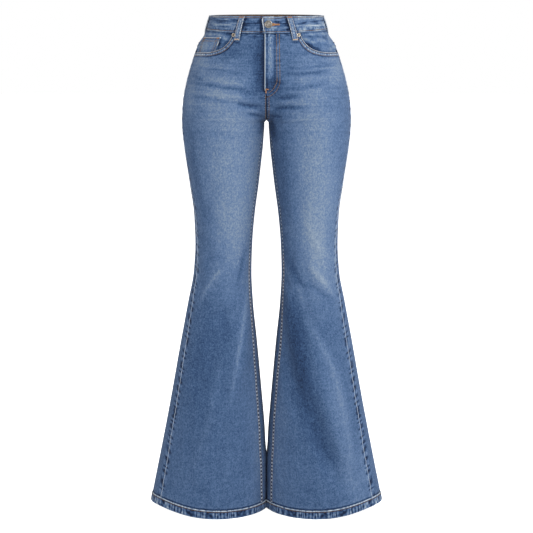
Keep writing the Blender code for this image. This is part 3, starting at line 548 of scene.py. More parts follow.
def blended(face, grid, share, z):
    # the lattice's value between its four nearest points
    rows, columns = grid.shape[:2]
    row = np.interp(-z, -face["z"], np.arange(rows))
    column = np.interp(share, face["share"], np.arange(columns))
    i, j = np.clip(row.astype(int), 0, rows - 2), np.clip(column.astype(int), 0, columns - 2)
    u, v = column - j, row - i
    if grid.ndim == 3:
        u, v = u[..., None], v[..., None]
    near = grid[i, j] * (1 - u) + grid[i, j + 1] * u
    return near * (1 - v) + (grid[i + 1, j] * (1 - u) + grid[i + 1, j + 1] * u) * v


def normalAt(face, share, z):
    share, z = np.broadcast_arrays(np.asarray(share, float), np.asarray(z, float))
    normal = blended(face, face["normals"], share, z)
    normal[..., 0] *= face["sign"]
    return normal / np.linalg.norm(normal, axis=-1, keepdims=True)


def pointAt(face, share, z, lift=0.0):
    # a point of the cloth's outside, raised off it by so much
    share, z, lift = np.broadcast_arrays(np.asarray(share, float), np.asarray(z, float), lift)
    out = blended(face, face["points"], share, z)
    out[..., 0] *= face["sign"]
    return out + normalAt(face, share, z) * lift[..., None]


def widthAt(face, z):
    return np.interp(-np.asarray(z), -face["z"], face["width"])


def fromCentre(face, share, z=cut["bandLevel"]):
    # the distance round the cloth from the panel's inner edge
    return (1 - share) * widthAt(face, z)


def shareAtX(face, x, z):
    # the share where the surface is this far from the middle, found by halving
    x, z = np.broadcast_arrays(np.abs(np.asarray(x, float)), np.asarray(z, float))
    low, high = np.zeros(x.shape), np.ones(x.shape)
    for _ in range(22):
        middle = (low + high) / 2
        tooFar = np.abs(blended(face, face["points"], middle, z)[..., 0]) > x
        low, high = np.where(tooFar, middle, low), np.where(tooFar, high, middle)
    return (low + high) / 2


def waistZ(face, share):
    return cut["waistSlope"] * pointAt(face, share, 0.0)[..., 1]


def bandZ(face, share):
    # the waistband's lower seam, a little lower at the front
    depth = np.clip(pointAt(face, share, 0.0)[..., 1] / sizeAt("front", 0.0), 0, 1)
    return waistZ(face, share) - cut["bandHeight"] - cut["bandDip"] * depth**2


def hemZ(face, share):
    # the hem rises towards its corners, and is drawn up a little between the middle and each side
    outer, inner = sizeAt("outer", cut["hem"]), sizeAt("innerFront", cut["hem"])
    across = (2 * np.abs(pointAt(face, share, cut["hem"])[..., 0]) - outer - inner) / (outer - inner)
    corner = cut["hemCorner"] * np.clip(-across, 0, 1) ** 5
    slack = np.where(across > 0, *cut["hemSlack"][::-1]) * across**2 * (1 - np.clip(np.abs(across), 0, 1) ** 3)
    return cut["hem"] + cut["hemTilt"] * across + cut["hemLift"] * across**2 + corner + slack


def scoopDepth(reach):
    # the pocket mouth is a squared quarter ellipse that rises again a little beside the side seam
    return np.sqrt(1 - reach ** cut["scoopSquare"]) - cut["scoopTurn"] * np.clip(1 - reach / 0.4, 0, 1) ** 2


def scoopZ(face, share):
    x = np.abs(pointAt(face, share, cut["scoopLevel"])[..., 0])
    sideX = sizeAt("outer", cut["scoopSideZ"] + 0.012)
    reach = np.clip((sideX - x) / (sideX - cut["scoopTopX"]), 0, 1)
    top = bandZ(face, share)
    return top - (top - cut["scoopSideZ"]) * scoopDepth(reach)


def yokeZ(face, share):
    return bandZ(face, share) - cut["yokeSide"] - (cut["yokeBack"] - cut["yokeSide"]) * share


faces = {(side, part): makeFace(side, part) for side in sides for part in ("front", "back")}
print("cloth surfaces ready")


class Wire:
    # one output of a shader node; sums and products of wires add the Math nodes that work them out
    def __init__(self, socket):
        self.socket, self.tree = socket, socket.id_data

    def __add__(self, other):
        return maths("ADD", self, other)

    def __sub__(self, other):
        return maths("SUBTRACT", self, other)

    def __rsub__(self, other):
        return maths("SUBTRACT", other, self)

    def __mul__(self, other):
        return maths("MULTIPLY", self, other)

    def __truediv__(self, other):
        return maths("DIVIDE", self, other)

    __radd__, __rmul__ = __add__, __mul__


def connect(value, socket):
    # a wire is linked to the socket, and any other value stands in it
    if isinstance(value, Wire):
        value.tree.links.new(value.socket, socket)
    else:
        socket.default_value = value


def addNode(tree, kind, inputs=None, output=0, **settings):
    made = tree.nodes.new("ShaderNode" + kind)
    for key, value in settings.items():
        setattr(made, key, value)
    for key, value in (inputs or {}).items():
        connect(value, made.inputs[key])
    return Wire(made.outputs[output])


def maths(operation, *values):
    tree = next(value.tree for value in values if isinstance(value, Wire))
    return addNode(tree, "Math", dict(enumerate(values)), operation=operation)


def vectorMaths(operation, vector, amounts):
    return addNode(vector.tree, "VectorMath", {0: vector, 1: (*amounts, 1)[:3]}, operation=operation)


def split(vector):
    made = addNode(vector.tree, "SeparateXYZ", {"Vector": vector})
    return [Wire(socket) for socket in made.socket.node.outputs]


def noise(vector, scale, detail, roughness, **more):
    inputs = {"Vector": vector, "Scale": scale, "Detail": detail, "Roughness": roughness, **more}
    return addNode(vector.tree, "TexNoise", inputs, "Fac")


def mapRange(value, *limits):
    # from the first two limits to the last two, and no further
    return addNode(value.tree, "MapRange", {"Value": value, **{k + 1: limit for k, limit in enumerate(limits)}})


def colourRamp(value, stops):
    made = addNode(value.tree, "ValToRGB", {"Fac": value})
    ramp = made.socket.node.color_ramp
    while len(ramp.elements) < len(stops):
        ramp.elements.new(0.5)
    for element, (place, colour) in zip(ramp.elements, stops):
        element.position, element.color = place, (*colour, 1)
    return made


def newGroup(name, inputs, outputs):
    # inputs by name with their starting values (None for a vector), and outputs by name
    tree = bpy.data.node_groups.new(name, "ShaderNodeTree")
    for label, start in inputs.items():
        kind = "NodeSocketVector" if start is None else "NodeSocketFloat"
        socket = tree.interface.new_socket(label, in_out="INPUT", socket_type=kind)
        if start is not None:
            socket.default_value = start
    for label in outputs:
        kind = "NodeSocketColor" if label == "Colour" else "NodeSocketFloat"
        tree.interface.new_socket(label, in_out="OUTPUT", socket_type=kind)
    given = tree.nodes.new("NodeGroupInput").outputs
    return tree, [Wire(given[label]) for label in inputs], tree.nodes.new("NodeGroupOutput").inputs


def useGroup(tree, group, inputs):
    made = tree.nodes.new("ShaderNodeGroup")
    made.node_tree = group
    for key, value in inputs.items():
        connect(value, made.inputs[key])
    return {socket.name: Wire(socket) for socket in made.outputs}


weave = {
    "walePitch": 0.0011, "waleLean": 0.55, "pickPitch": 0.00062, "pickDepth": 0.45,
    "warp": (640, 60), "weft": (70, 800),
    "speckle": (365, 285), "blotch": 26.0,
}


def makeTwillGroup():
    # cloth coordinates are metres across and along: the twill's slanting ribs, each broken up by the picks,
    # uneven yarns that run up the leg and across it, and a fine speckle
    tree, (cloth,), out = newGroup("twillWeave", {"Cloth": None}, ("Rib", "Slub", "Speckle", "Blotch"))
    place = vectorMaths("ADD", cloth, (3.713, 5.271, 0.437))
    x, y, _ = split(cloth)
    turn = 2 * pi / weave["walePitch"]
    picks = maths("SINE", y * (2 * pi / weave["pickPitch"]))
    connect(maths("SINE", x * turn + y * (turn * weave["waleLean"])) + picks * weave["pickDepth"], out["Rib"])
    warp = noise(vectorMaths("MULTIPLY", place, weave["warp"]), 1, 3, 0.6)
    weft = noise(vectorMaths("MULTIPLY", place, weave["weft"]), 1, 2, 0.5)
    connect(warp * 1.3 + weft * 0.7 - 1, out["Slub"])
    connect(noise(vectorMaths("MULTIPLY", place, weave["speckle"]), 1, 3, 0.75) - 0.5, out["Speckle"])
    connect(noise(place, weave["blotch"], 4, 0.65) - 0.5, out["Blotch"])
    return tree


def makeSeamGroup():
    # beside a seam: its draws make a row of dark and pale spots round one distance from it, slanting across the
    # seam, and a dark line lies in its groove
    tree, given, out = newGroup("seamWear", {
        "Distance": 0.0, "Along": 0.0, "Pitch": 0.01, "Row": 0.003, "Across": 0.0, "Spread": 0.002, "Slant": 0.0,
        "Wander": 1.0, "Pale": 1.0}, ("Spots", "Groove"))
    distance, along, pitch, row, across, spread, slant, wander, pale = given
    drift = addNode(tree, "TexNoise", {"W": along / 0.03, "Scale": 1, "Detail": 2}, noise_dimensions="1D")
    turns = along / pitch + drift * wander
    beat = maths("SINE", (turns + across / spread * slant) * (2 * pi))
    beat = maths("MINIMUM", beat, 0.0) + maths("MAXIMUM", beat, 0.0) * pale
    connect(beat * mapRange(maths("ABSOLUTE", (distance - row) / spread), 1.15, 0.6, 0, 1), out["Spots"])
    connect(mapRange(distance, 0.0016, 0.0002, 0, 1), out["Groove"])
    return tree


def makeStreakGroup():
    # worn streaks: across the hips, where the cloth creases in sitting, and up and down below the knees
    tree, (cloth, height), out = newGroup("wornStreaks", {"Cloth": None, "Height": 0.0}, ("Streaks",))
    place = vectorMaths("ADD", cloth, (2.171, 4.613, 0.391))
    level, upright = (
        noise(vectorMaths("MULTIPLY", place, way), 1, 2.5, 0.55, Distortion=0.35) for way in ((16, 190), (150, 16)))
    hips, flare = mapRange(height, -0.30, -0.17, 0.06, 0.30), mapRange(height, -0.46, -0.62, 0.05, 0.09)
    connect((level - 0.5) * hips + (upright - 0.5) * flare, out["Streaks"])
    return tree


indigo = (
    (0.00, (0.004, 0.014, 0.046)), (0.20, (0.025, 0.061, 0.147)), (0.35, (0.056, 0.110, 0.222)),
    (0.50, (0.102, 0.169, 0.304)), (0.65, (0.176, 0.241, 0.338)), (0.80, (0.268, 0.334, 0.418)),
    (1.00, (0.520, 0.580, 0.650)),
)


def makeDenimGroup():
    # one lightness runs from deep indigo to worn white, and every effect adds to it
    tree, (cloth, lightness, grain), out = newGroup(
        "denimColour", {"Cloth": None, "Lightness": 0.4, "Grain": 1.0}, ("Colour", "Height"))
    yarn = useGroup(tree, twillGroup, {"Cloth": cloth})
    yarnTone = yarn["Rib"] * 0.035 + yarn["Slub"] * 0.11 + yarn["Speckle"] * 0.82 + yarn["Blotch"] * 0.10
    connect(colourRamp(lightness + yarnTone * grain, indigo), out["Colour"])
    connect(yarn["Rib"] * 0.35 + yarn["Slub"] * 1.2, out["Height"])
    return tree


twillGroup, seamGroup, streakGroup = makeTwillGroup(), makeSeamGroup(), makeStreakGroup()
denimGroup = makeDenimGroup()

denimLook = {
    "base": 0.345, "fade": 1.0, "tone": 0.20, "wear": 0.45, "weaveDepth": 0.0001, "seamDepth": 0.0006, "groove": 0.22,
    "sideSpots": 0.33, "inseamSpots": 1.25, "finer": (2.4, 2.3),
}
sideSeamWear = {"Pitch": 0.0170, "Row": 0.0022, "Spread": 0.008, "Slant": 0.22, "Wander": 2.2, "Pale": 0.4}
inseamWear = {"Pitch": 0.0078, "Row": 0.0053, "Spread": 0.0040, "Slant": 0.0, "Wander": 0.5, "Pale": 0.8}


def newMaterial(name, **inputs):
    material = bpy.data.materials.new(name)
    material.use_nodes = True
    shader = material.node_tree.nodes["Principled BSDF"].inputs
    for label, value in inputs.items():
        shader[label.replace("_", " ")].default_value = value
    return material, material.node_tree, shader


def roughen(shader, height, strength):
    bump = addNode(height.tree, "Bump", {"Height": height, "Strength": strength, "Distance": 1.0})
    connect(bump, shader["Normal"])


def attribute(tree, name, output="Vector"):
    return addNode(tree, "Attribute", output=output, attribute_name=name)


def makeDenim(name, base, seams=False, inside=False, streaky=0.0, saturation=1.0):
    # each piece's three channels hold fade (washed paler, with painted light and shade), tone (mostly painted shade and
    # highlight) and wear, and its seam attribute the distances to its two seams
    sheen = 0.0 if inside else 0.08
    material, tree, shader = newMaterial(name, Roughness=0.9, Specular_IOR_Level=0.25, Sheen_Weight=sheen)
    cloth = addNode(tree, "UVMap", uv_map="cloth")
    fade, tone, wear = split(attribute(tree, "wash"))
    lightness = fade * denimLook["fade"] + base + tone * denimLook["tone"] + wear * denimLook["wear"]
    if seams:
        across, fromInseam, along = split(attribute(tree, "seam"))
        outseam = useGroup(tree, seamGroup, {
            "Distance": maths("ABSOLUTE", across), "Along": along, "Across": across, **sideSeamWear})
        inseam = useGroup(tree, seamGroup, {"Distance": fromInseam, "Along": along, **inseamWear})
        for seam, depth in ((outseam, denimLook["sideSpots"]), (inseam, denimLook["inseamSpots"])):
            lightness = lightness + seam["Spots"] * depth - seam["Groove"] * denimLook["groove"]
        lightness = lightness + useGroup(tree, streakGroup, {"Cloth": cloth, "Height": along})["Streaks"]
    if streaky:
        # finer streaks along a narrow strip
        finer = vectorMaths("MULTIPLY", cloth, denimLook["finer"])
        lightness = lightness + useGroup(tree, streakGroup, {"Cloth": finer, "Height": 0.0})["Streaks"] * streaky
    woven = useGroup(tree, denimGroup, {"Cloth": cloth, "Lightness": lightness, "Grain": 1.0})
    connect(addNode(tree, "HueSaturation", {"Color": woven["Colour"], "Saturation": saturation}), shader["Base Color"])
    height = woven["Height"] * denimLook["weaveDepth"]
    if seams:
        height = height + (outseam["Spots"] + inseam["Spots"]) * denimLook["seamDepth"]
    roughen(shader, height, 0.8)
    return material


def makeThread(name, pale, deep):
    # each stitch has its own tint, and fine twisted plies run round it
    material, tree, shader = newMaterial(name, Roughness=0.7)
    along, around, _ = split(addNode(tree, "UVMap", uv_map="thread"))
    twist = maths("SINE", (along + around) * (2 * pi * 3))
    connect(colourRamp(attribute(tree, "tint", "Fac") + twist * 0.12, ((0.0, deep), (1.0, pale))), shader["Base Color"])
    roughen(shader, twist * 0.00005, 0.7)
    return material


def makeTape(name, colour):
    # the brown cotton that faces the waistband inside, darkened with painted shade
    material, tree, shader = newMaterial(name, Roughness=0.95)
    yarn = useGroup(tree, twillGroup, {"Cloth": addNode(tree, "UVMap", uv_map="cloth")})
    dark, pale = (tuple(c * k for c in colour) for k in (0.6, 1.4))
    shade = yarn["Slub"] * 0.4 + yarn["Blotch"] * 0.5 + 0.5
    connect(colourRamp(shade, ((0.0, dark), (1.0, pale))), shader["Base Color"])
    roughen(shader, yarn["Rib"] * 0.00006, 0.7)
    return material


denim = makeDenim("washedDenim", denimLook["base"], seams=True)
denimPlain = makeDenim("washedDenimPlain", denimLook["base"] + 0.03)
denimBand = makeDenim("washedDenimBand", denimLook["base"] + 0.03, streaky=2.3)
denimPocket = makeDenim("washedDenimPocket", denimLook["base"], streaky=0.9, saturation=1.02)
denimInside = makeDenim("denimInside", 0.52, inside=True)
# its brown is made as dark as the shade inside the band: its own colour with painted shade
bandTape = makeTape("bandTape", (0.085, 0.060, 0.046))
# each thread's pale and deep colour
threads = {name: makeThread("thread" + name, pale, deep) for name, pale, deep in (
    ("Tan", (0.32, 0.21, 0.118), (0.12, 0.078, 0.044)),
    ("Grey", (0.37, 0.35, 0.37), (0.17, 0.16, 0.19)),
    ("Pale", (0.46, 0.54, 0.68), (0.28, 0.36, 0.50)),
    ("Dusk", (0.19, 0.25, 0.36), (0.09, 0.13, 0.21)),
    ("Brown", (0.13, 0.065, 0.03), (0.035, 0.02, 0.012)),
    ("Cream", (0.66, 0.52, 0.40), (0.36, 0.22, 0.13)),
    ("Bright", (0.46, 0.23, 0.10), (0.22, 0.10, 0.04)),
)}
print("denim and thread ready")

stride = 3
coarse = slice(None, None, stride)


def meshFrom(name, points, blocks):
    # each block is an array of faces with the same number of corners
    mesh = bpy.data.meshes.new(name)
    corners = np.concatenate([block.ravel() for block in blocks])
    starts, at = [], 0
    for block in blocks:
        starts.append(at + np.arange(len(block)) * block.shape[1])
        at += block.size
    mesh.vertices.add(len(points))
    mesh.vertices.foreach_set("co", points.ravel())
    mesh.loops.add(len(corners))
    mesh.loops.foreach_set("vertex_index", corners.astype(np.int32))
    mesh.polygons.add(sum(len(block) for block in blocks))
    mesh.polygons.foreach_set("loop_start", np.concatenate(starts).astype(np.int32))
    mesh.update(calc_edges=True)
    mesh.validate()
    mesh.shade_smooth()
    mesh.set_sharp_from_angle(angle=radians(48))
    return mesh


def storeOn(mesh, **channels):
    # one number a point becomes a plain attribute, two a UV map and three a vector
    for key, values in channels.items():
        values = values.reshape(len(mesh.vertices), -1)
        if values.shape[1] == 2:
            corners = np.empty(len(mesh.loops), np.int32)
            mesh.loops.foreach_get("vertex_index", corners)
            mesh.uv_layers.new(name=key).data.foreach_set("uv", values[corners].ravel())
        else:
            kind, field = {1: ("FLOAT", "value"), 3: ("FLOAT_VECTOR", "vector")}[values.shape[1]]
            mesh.attributes.new(key, kind, "POINT").data.foreach_set(field, values.ravel())


def newObject(name, mesh, *materials):
    piece = bpy.data.objects.new(name, mesh)
    bpy.context.scene.collection.objects.link(piece)
    for material in materials:
        mesh.materials.append(material)
    return piece


def useSecondMaterial(mesh, faceNumbers):
    slots = np.zeros(len(mesh.polygons), int)
    slots[faceNumbers] = 1
    mesh.polygons.foreach_set("material_index", slots)


def dress(piece, *nodes, slot="denim"):
    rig.ride(piece, "root")
    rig.slot(piece, slot)
    if nodes:
        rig.replaces(piece, *nodes)
    return piece


def stack(*channels):
    return np.stack(np.broadcast_arrays(*channels), axis=-1)


def quads(grid):
    # the cells of a grid of vertex numbers
    return np.stack([grid[:-1, :-1], grid[1:, :-1], grid[1:, 1:], grid[:-1, 1:]], axis=-1).reshape(-1, 4)


def numbered(points, start=0, closed=False):
    # a grid's vertex numbers, with its first column again after the last where the grid is closed
    index = start + np.arange(points.shape[0] * points.shape[1]).reshape(points.shape[:2])
    return np.concatenate([index, index[:, :1]], axis=1) if closed else index


def clothPiece(name, outer, inner, material, channels, closed=False):
    # a fine outer grid and a coarser inner one, every third point of it, joined by a rim of broad faces
    index, inside = numbered(outer, 0, closed), numbered(inner, outer.size // 3, closed)

    def rim(fine, rough):
        count = len(rough) - 1
        starts = np.arange(count)[:, None] * stride + np.arange(stride + 1)
        return np.concatenate([fine[starts][:, ::-1], rough[:-1, None], rough[1:, None]], axis=1)

    row, column = outer.shape[0] // 2, outer.shape[1] // 2
    across, down = outer[row, column + 1] - outer[row, column], outer[row + 1, column] - outer[row, column]
    outwards = outer[row // stride * stride, column // stride * stride] - inner[row // stride, column // stride]
    blocks = [quads(index), quads(inside)[:, ::-1], rim(index[0], inside[0]), rim(index[-1, ::-1], inside[-1, ::-1])]
    if not closed:
        blocks += [rim(index[::-1, 0], inside[::-1, 0]), rim(index[:, -1], inside[:, -1])]
    if np.dot(np.cross(down, across), outwards) < 0:
        blocks = [block[:, ::-1] for block in blocks]
    mesh = meshFrom(name, np.concatenate([outer.reshape(-1, 3), inner.reshape(-1, 3)]), blocks)
    for key, values in channels.items():
        rough = values[coarse, coarse][:, :inner.shape[1]]
        both = [grid.reshape(-1, values.shape[-1]) for grid in (values, rough)]
        storeOn(mesh, **{key: np.concatenate(both)})
    piece = newObject(name, mesh, material, denimInside)
    useSecondMaterial(mesh, slice(len(blocks[0]), len(blocks[0]) + len(blocks[1])))
    return piece


stitch = {"radius": 0.00048, "length": 0.0030, "pitch": 0.0034, "sides": 5}
# along a stitch: the places of its rings, their sizes, and how far they dip into the cloth
ringAt = np.array([-0.5, -0.34, 0.34, 0.5])
ringSize = np.array([0.45, 1.0, 1.0, 0.45])
ringDip = np.array([-0.9, 0.1, 0.1, -0.9])
dice = np.random.default_rng(11)


def onPath(places, steps, values):
    return np.stack([np.interp(places, steps, values[:, k]) for k in range(3)], axis=1)


def runStitches(points, normals, pitch=stitch["pitch"], radius=stitch["radius"], fill=1.0):
    # evenly spaced stitches along a path that lies on the cloth; from a fill of 1.14 they touch
    steps = pathLength(points)
    count = max(int(steps[-1] / pitch), 1)
    middle = (np.arange(count) + 0.5 + dice.uniform(-0.05, 0.05, count)) * steps[-1] / count
    half = fill * pitch * stitch["length"] / stitch["pitch"] / 2
    first, last = np.maximum(middle - half, 0), np.minimum(middle + half, steps[-1])
    run = onPath(last, steps, points) - onPath(first, steps, points)
    length = np.linalg.norm(run, axis=1)
    return {"centre": onPath(middle, steps, points), "tangent": run / length[:, None],
            "normal": onPath(middle, steps, normals), "length": length, "radius": np.full(count, radius)}


def satinStitches(points, normals, width, pitch=0.00062, radius=0.0004):
    # stitches laid side by side along a path, each one across it
    row = runStitches(points, normals, pitch, radius)
    row["tangent"] = np.cross(row["normal"], row["tangent"])
    row["length"] = width * (1 + dice.uniform(-0.08, 0.08, len(row["centre"])))
    return row


def unit(vectors):
    return vectors / np.linalg.norm(vectors, axis=1, keepdims=True)


def threadPiece(name, rows, material):
    # every stitch is the same short tube, tapered and dipping into the cloth at both ends
    row = {key: np.concatenate([r[key] for r in rows]) for key in rows[0]}
    tangent = unit(row["tangent"])
    sideways = unit(np.cross(tangent, row["normal"]))
    up = np.cross(sideways, tangent)
    count, rings, corners = len(tangent), len(ringAt), stitch["sides"]
    turn = 2 * pi * (np.arange(corners) + 0.5) / corners
    radius, size = row["radius"][:, None, None], ringSize[None, :, None]
    along = (row["length"][:, None] * ringAt)[:, :, None]
    out, high = radius * size * np.cos(turn), radius * (size * np.sin(turn) + ringDip[None, :, None])
    points = row["centre"][:, None, None] + sum(
        amount[..., None] * way[:, None, None] for amount, way in ((along, tangent), (out, sideways), (high, up)))
    base = (np.arange(count) * rings * corners)[:, None]
    ring, side = (grid.ravel() * step for grid, step in zip(np.indices((rings - 1, corners)), (corners, 1)))
    after = (side + 1) % corners
    tube = np.stack([ring + side, ring + after, ring + corners + after, ring + corners + side], axis=-1)
    tube = (base[..., None] + tube).reshape(-1, 4)
    start, stop = (base + ring * corners + np.arange(corners) for ring in (0, rings - 1))
    mesh = meshFrom(name, points.reshape(-1, 3), [tube[:, ::-1], start, stop[:, ::-1]])
    tint = np.repeat(np.clip(dice.normal(0.55, 0.2, count), 0, 1), rings * corners)
    uv = np.broadcast_to(stack(ringAt[:, None] * 1.5, turn / (2 * pi)), (count, rings, corners, 2))
    storeOn(mesh, tint=tint, thread=uv)
    return dress(newObject(name, mesh, material))


def seamRow(face, share, z, lift=0.0):
    # a path on the cloth and the directions that stand off it
    share, z = np.broadcast_arrays(np.asarray(share, float), np.asarray(z, float))
    return pointAt(face, share, z, lift), normalAt(face, share, z)


def nearCurve(points, curve, reach=0.016):
    # the distance from each point to a line through space, and how far along the line its nearest place is
    steps = pathLength(curve)
    even = np.linspace(0, steps[-1], int(steps[-1] / 0.0006) + 2)
    dense = onPath(even, steps, curve)
    near = np.all((points > dense.min(axis=0) - reach) & (points < dense.max(axis=0) + reach), axis=-1)
    distance, place = np.full(points.shape[:-1], 9.0), np.zeros(points.shape[:-1])
    gaps = ((points[near][:, None] - dense) ** 2).sum(axis=2)
    best = gaps.argmin(axis=1)
    distance[near], place[near] = np.sqrt(gaps[np.arange(len(best)), best]), even[best]
    return distance, place


def drawnIn(points, curve, seed, pitch=0.0068):
    # the shading beside a stitched row: a dark line under the thread and uneven puckers on both sides
    distance, place = nearCurve(points, curve)
    return 0.75 * beats(place, pitch, 0.8, 0.03, seed) * bell(distance, 0.0030) - 0.5 * bell(distance, 0.0010)


def scoopLine(side, gap=0.0):
    # the pocket mouth, or a line that keeps its distance from it on the front
    face = faces[side, "front"]
    end = float(shareAtX(face, cut["scoopTopX"], cut["scoopLevel"]))
    share = end * (1 - np.linspace(1, 0, 260) ** 3)
    z = scoopZ(face, share)
    points = pointAt(face, share, z)
    moved = points + gap * unit(np.cross(normalAt(face, share, z), np.gradient(points, axis=0))) * face["sign"]
    share = shareAtX(face, moved[:, 0], moved[:, 2])
    keep = (moved[:, 2] < bandZ(face, share) - 0.001) & (share > 0.002)
    return share[keep], moved[keep, 2]


# the fly's two rows through these points, in metres from the middle and in height
flyCurve = {
    "outer": (
        (0.0261, -0.0388), (0.0268, -0.085), (0.0277, -0.132), (0.0236, -0.1486), (0.0134, -0.161), (-0.001, -0.1687)),
    "inner": (
        (0.0204, -0.0388), (0.0209, -0.085), (0.0215, -0.132), (0.0175, -0.1445), (0.0093, -0.1548), (0.0041, -0.158)),
}
# the two rows beside the seam below the fly: distance from the middle, negative on the right
crotchGaps = (-0.0019, 0.0052)


def flyRow(name):
    knots = np.array(flyCurve[name])
    place = np.linspace(0, len(knots) - 1, 240)
    x, z = (smooth(place, np.arange(len(knots), dtype=float), knots[:, k]) for k in (0, 1))
    return shareAtX(faces["left", "front"], x, z), z


def crotchRow(gap):
    side = "left" if gap > 0 else "right"
    z = np.linspace(-0.162, -0.214, 60)
    return side, shareAtX(faces[side, "front"], abs(gap), z), z


front = {
    "columnsToScoop": 60, "columnsToFly": 42, "torsoRows": 111, "legRows": 336, "tuck": 0.0012, "hemDrop": 0.0009,
    "flyEnd": -0.159, "flyReach": 0.0038, "flyLift": 0.0022, "flyWidth": 0.03, "flyFade": 0.016, "reachFade": 0.008,
    "reachShares": (1, 0.93, 0.8, 0.55), "edgeRoll": (0.0010, 0.00038, 0.0001),
}
# worn and shaded lines beside the front's edges and seams, for shades()
frontLines = {
    "mouthWear": ((0, 0.0013, 1.9), (0.0052, 0.0016, 0.55)),
    "mouthRope": ((0.0052, 0.0019, 1.5),),
    "mouthTone": ((0.0024, 0.0009, -1.9), (0.0098, 0.0016, -1.5)),
    "lapWear": ((0, 0.0011, 2.2),),
    "lapEdge": ((0.0022, 0.0008, -1.3),),
    "lapRidge": ((0.0075, 0.0048, 1.0),),
    "lapGroove": ((0.0168, 0.0018, -0.9),),
    "crotchSeam": ((0, 0.0013, -2.2),),
    "crotchBeads": ((0.0036, 0.0016, 1.3),),
    "underBand": ((0.0008, 0.0018, -2.0),),
    "bandRipple": ((0.0045, 0.0022, 0.8),),
    "bandShadow": ((0.0085, 0.0030, -0.9),),
    "aboveHem": ((0.0008, 0.0018, -1.7), (0.0045, 0.0020, 0.3)),
}


def panelHeights(top, bottom, torsoRows, legRows):
    down, downLeg = evenly(torsoRows, 0.45)[:, None], evenly(legRows, 0.25)[1:, None]
    return np.concatenate([top + (cut["crotch"] - top) * down, cut["crotch"] + (bottom - cut["crotch"]) * downLeg])


def rolled(lift, *edges, amounts=front["edgeRoll"]):
    # turns an edge's last few rows or columns down into the cloth
    lift, everyRow = lift.copy(), slice(None)
    for k, drop in enumerate(amounts):
        places = {"top": k, "bottom": -1 - k, "first": (everyRow, k), "last": (everyRow, -1 - k)}
        for edge in edges:
            lift[places[edge]] -= drop
    return lift


def flyLift(face, share, z):
    # the left front stands proud where the lap lies under it
    if face["side"] == "right" or face["part"] == "back":
        return 0 * z
    away = fromCentre(face, share, z)
    return front["flyLift"] * (1 - ease(away / front["flyWidth"])) * ease((z - front["flyEnd"]) / front["flyFade"] + 1)


def seamScale(z):
    # the inseam's rows lie closer together on the thigh than below the knee
    return 0.70 - 0.08 * ease((z + 0.62) / 0.16)


def panelChannels(face, share, z, wear=0.0, tone=0.0, fade=0.0, seams=False):
    # cloth coordinates, the fade, tone and wear with their painted light and shade, and on the large panels the
    # distances to their seams
    width = widthAt(face, z)
    wash = stack(blended(face, face["fade"], share, z) + fade, blended(face, face["tone"], share, z) + tone, wear)
    channels = {"cloth": stack((share - 0.5) * width * face["sign"], z), "wash": wash}
    if seams:
        isFront = face["part"] == "front"
        awayFromLeg = 0.1 * ease((z - cut["crotch"] + 0.01) / 0.006) if isFront else 0.1
        fromInseam = (1 - share) * width / seamScale(z) + awayFromLeg
        channels["seam"] = stack(share * width * (1 if isFront else -1), fromInseam, z)
    return channels


def underside(face, share, z, lift):
    # the inside of a piece, on every third row and column of its outside
    share, z, lift = (grid[coarse, coarse] for grid in np.broadcast_arrays(share, z, lift))
    return pointAt(face, share, z, lift)


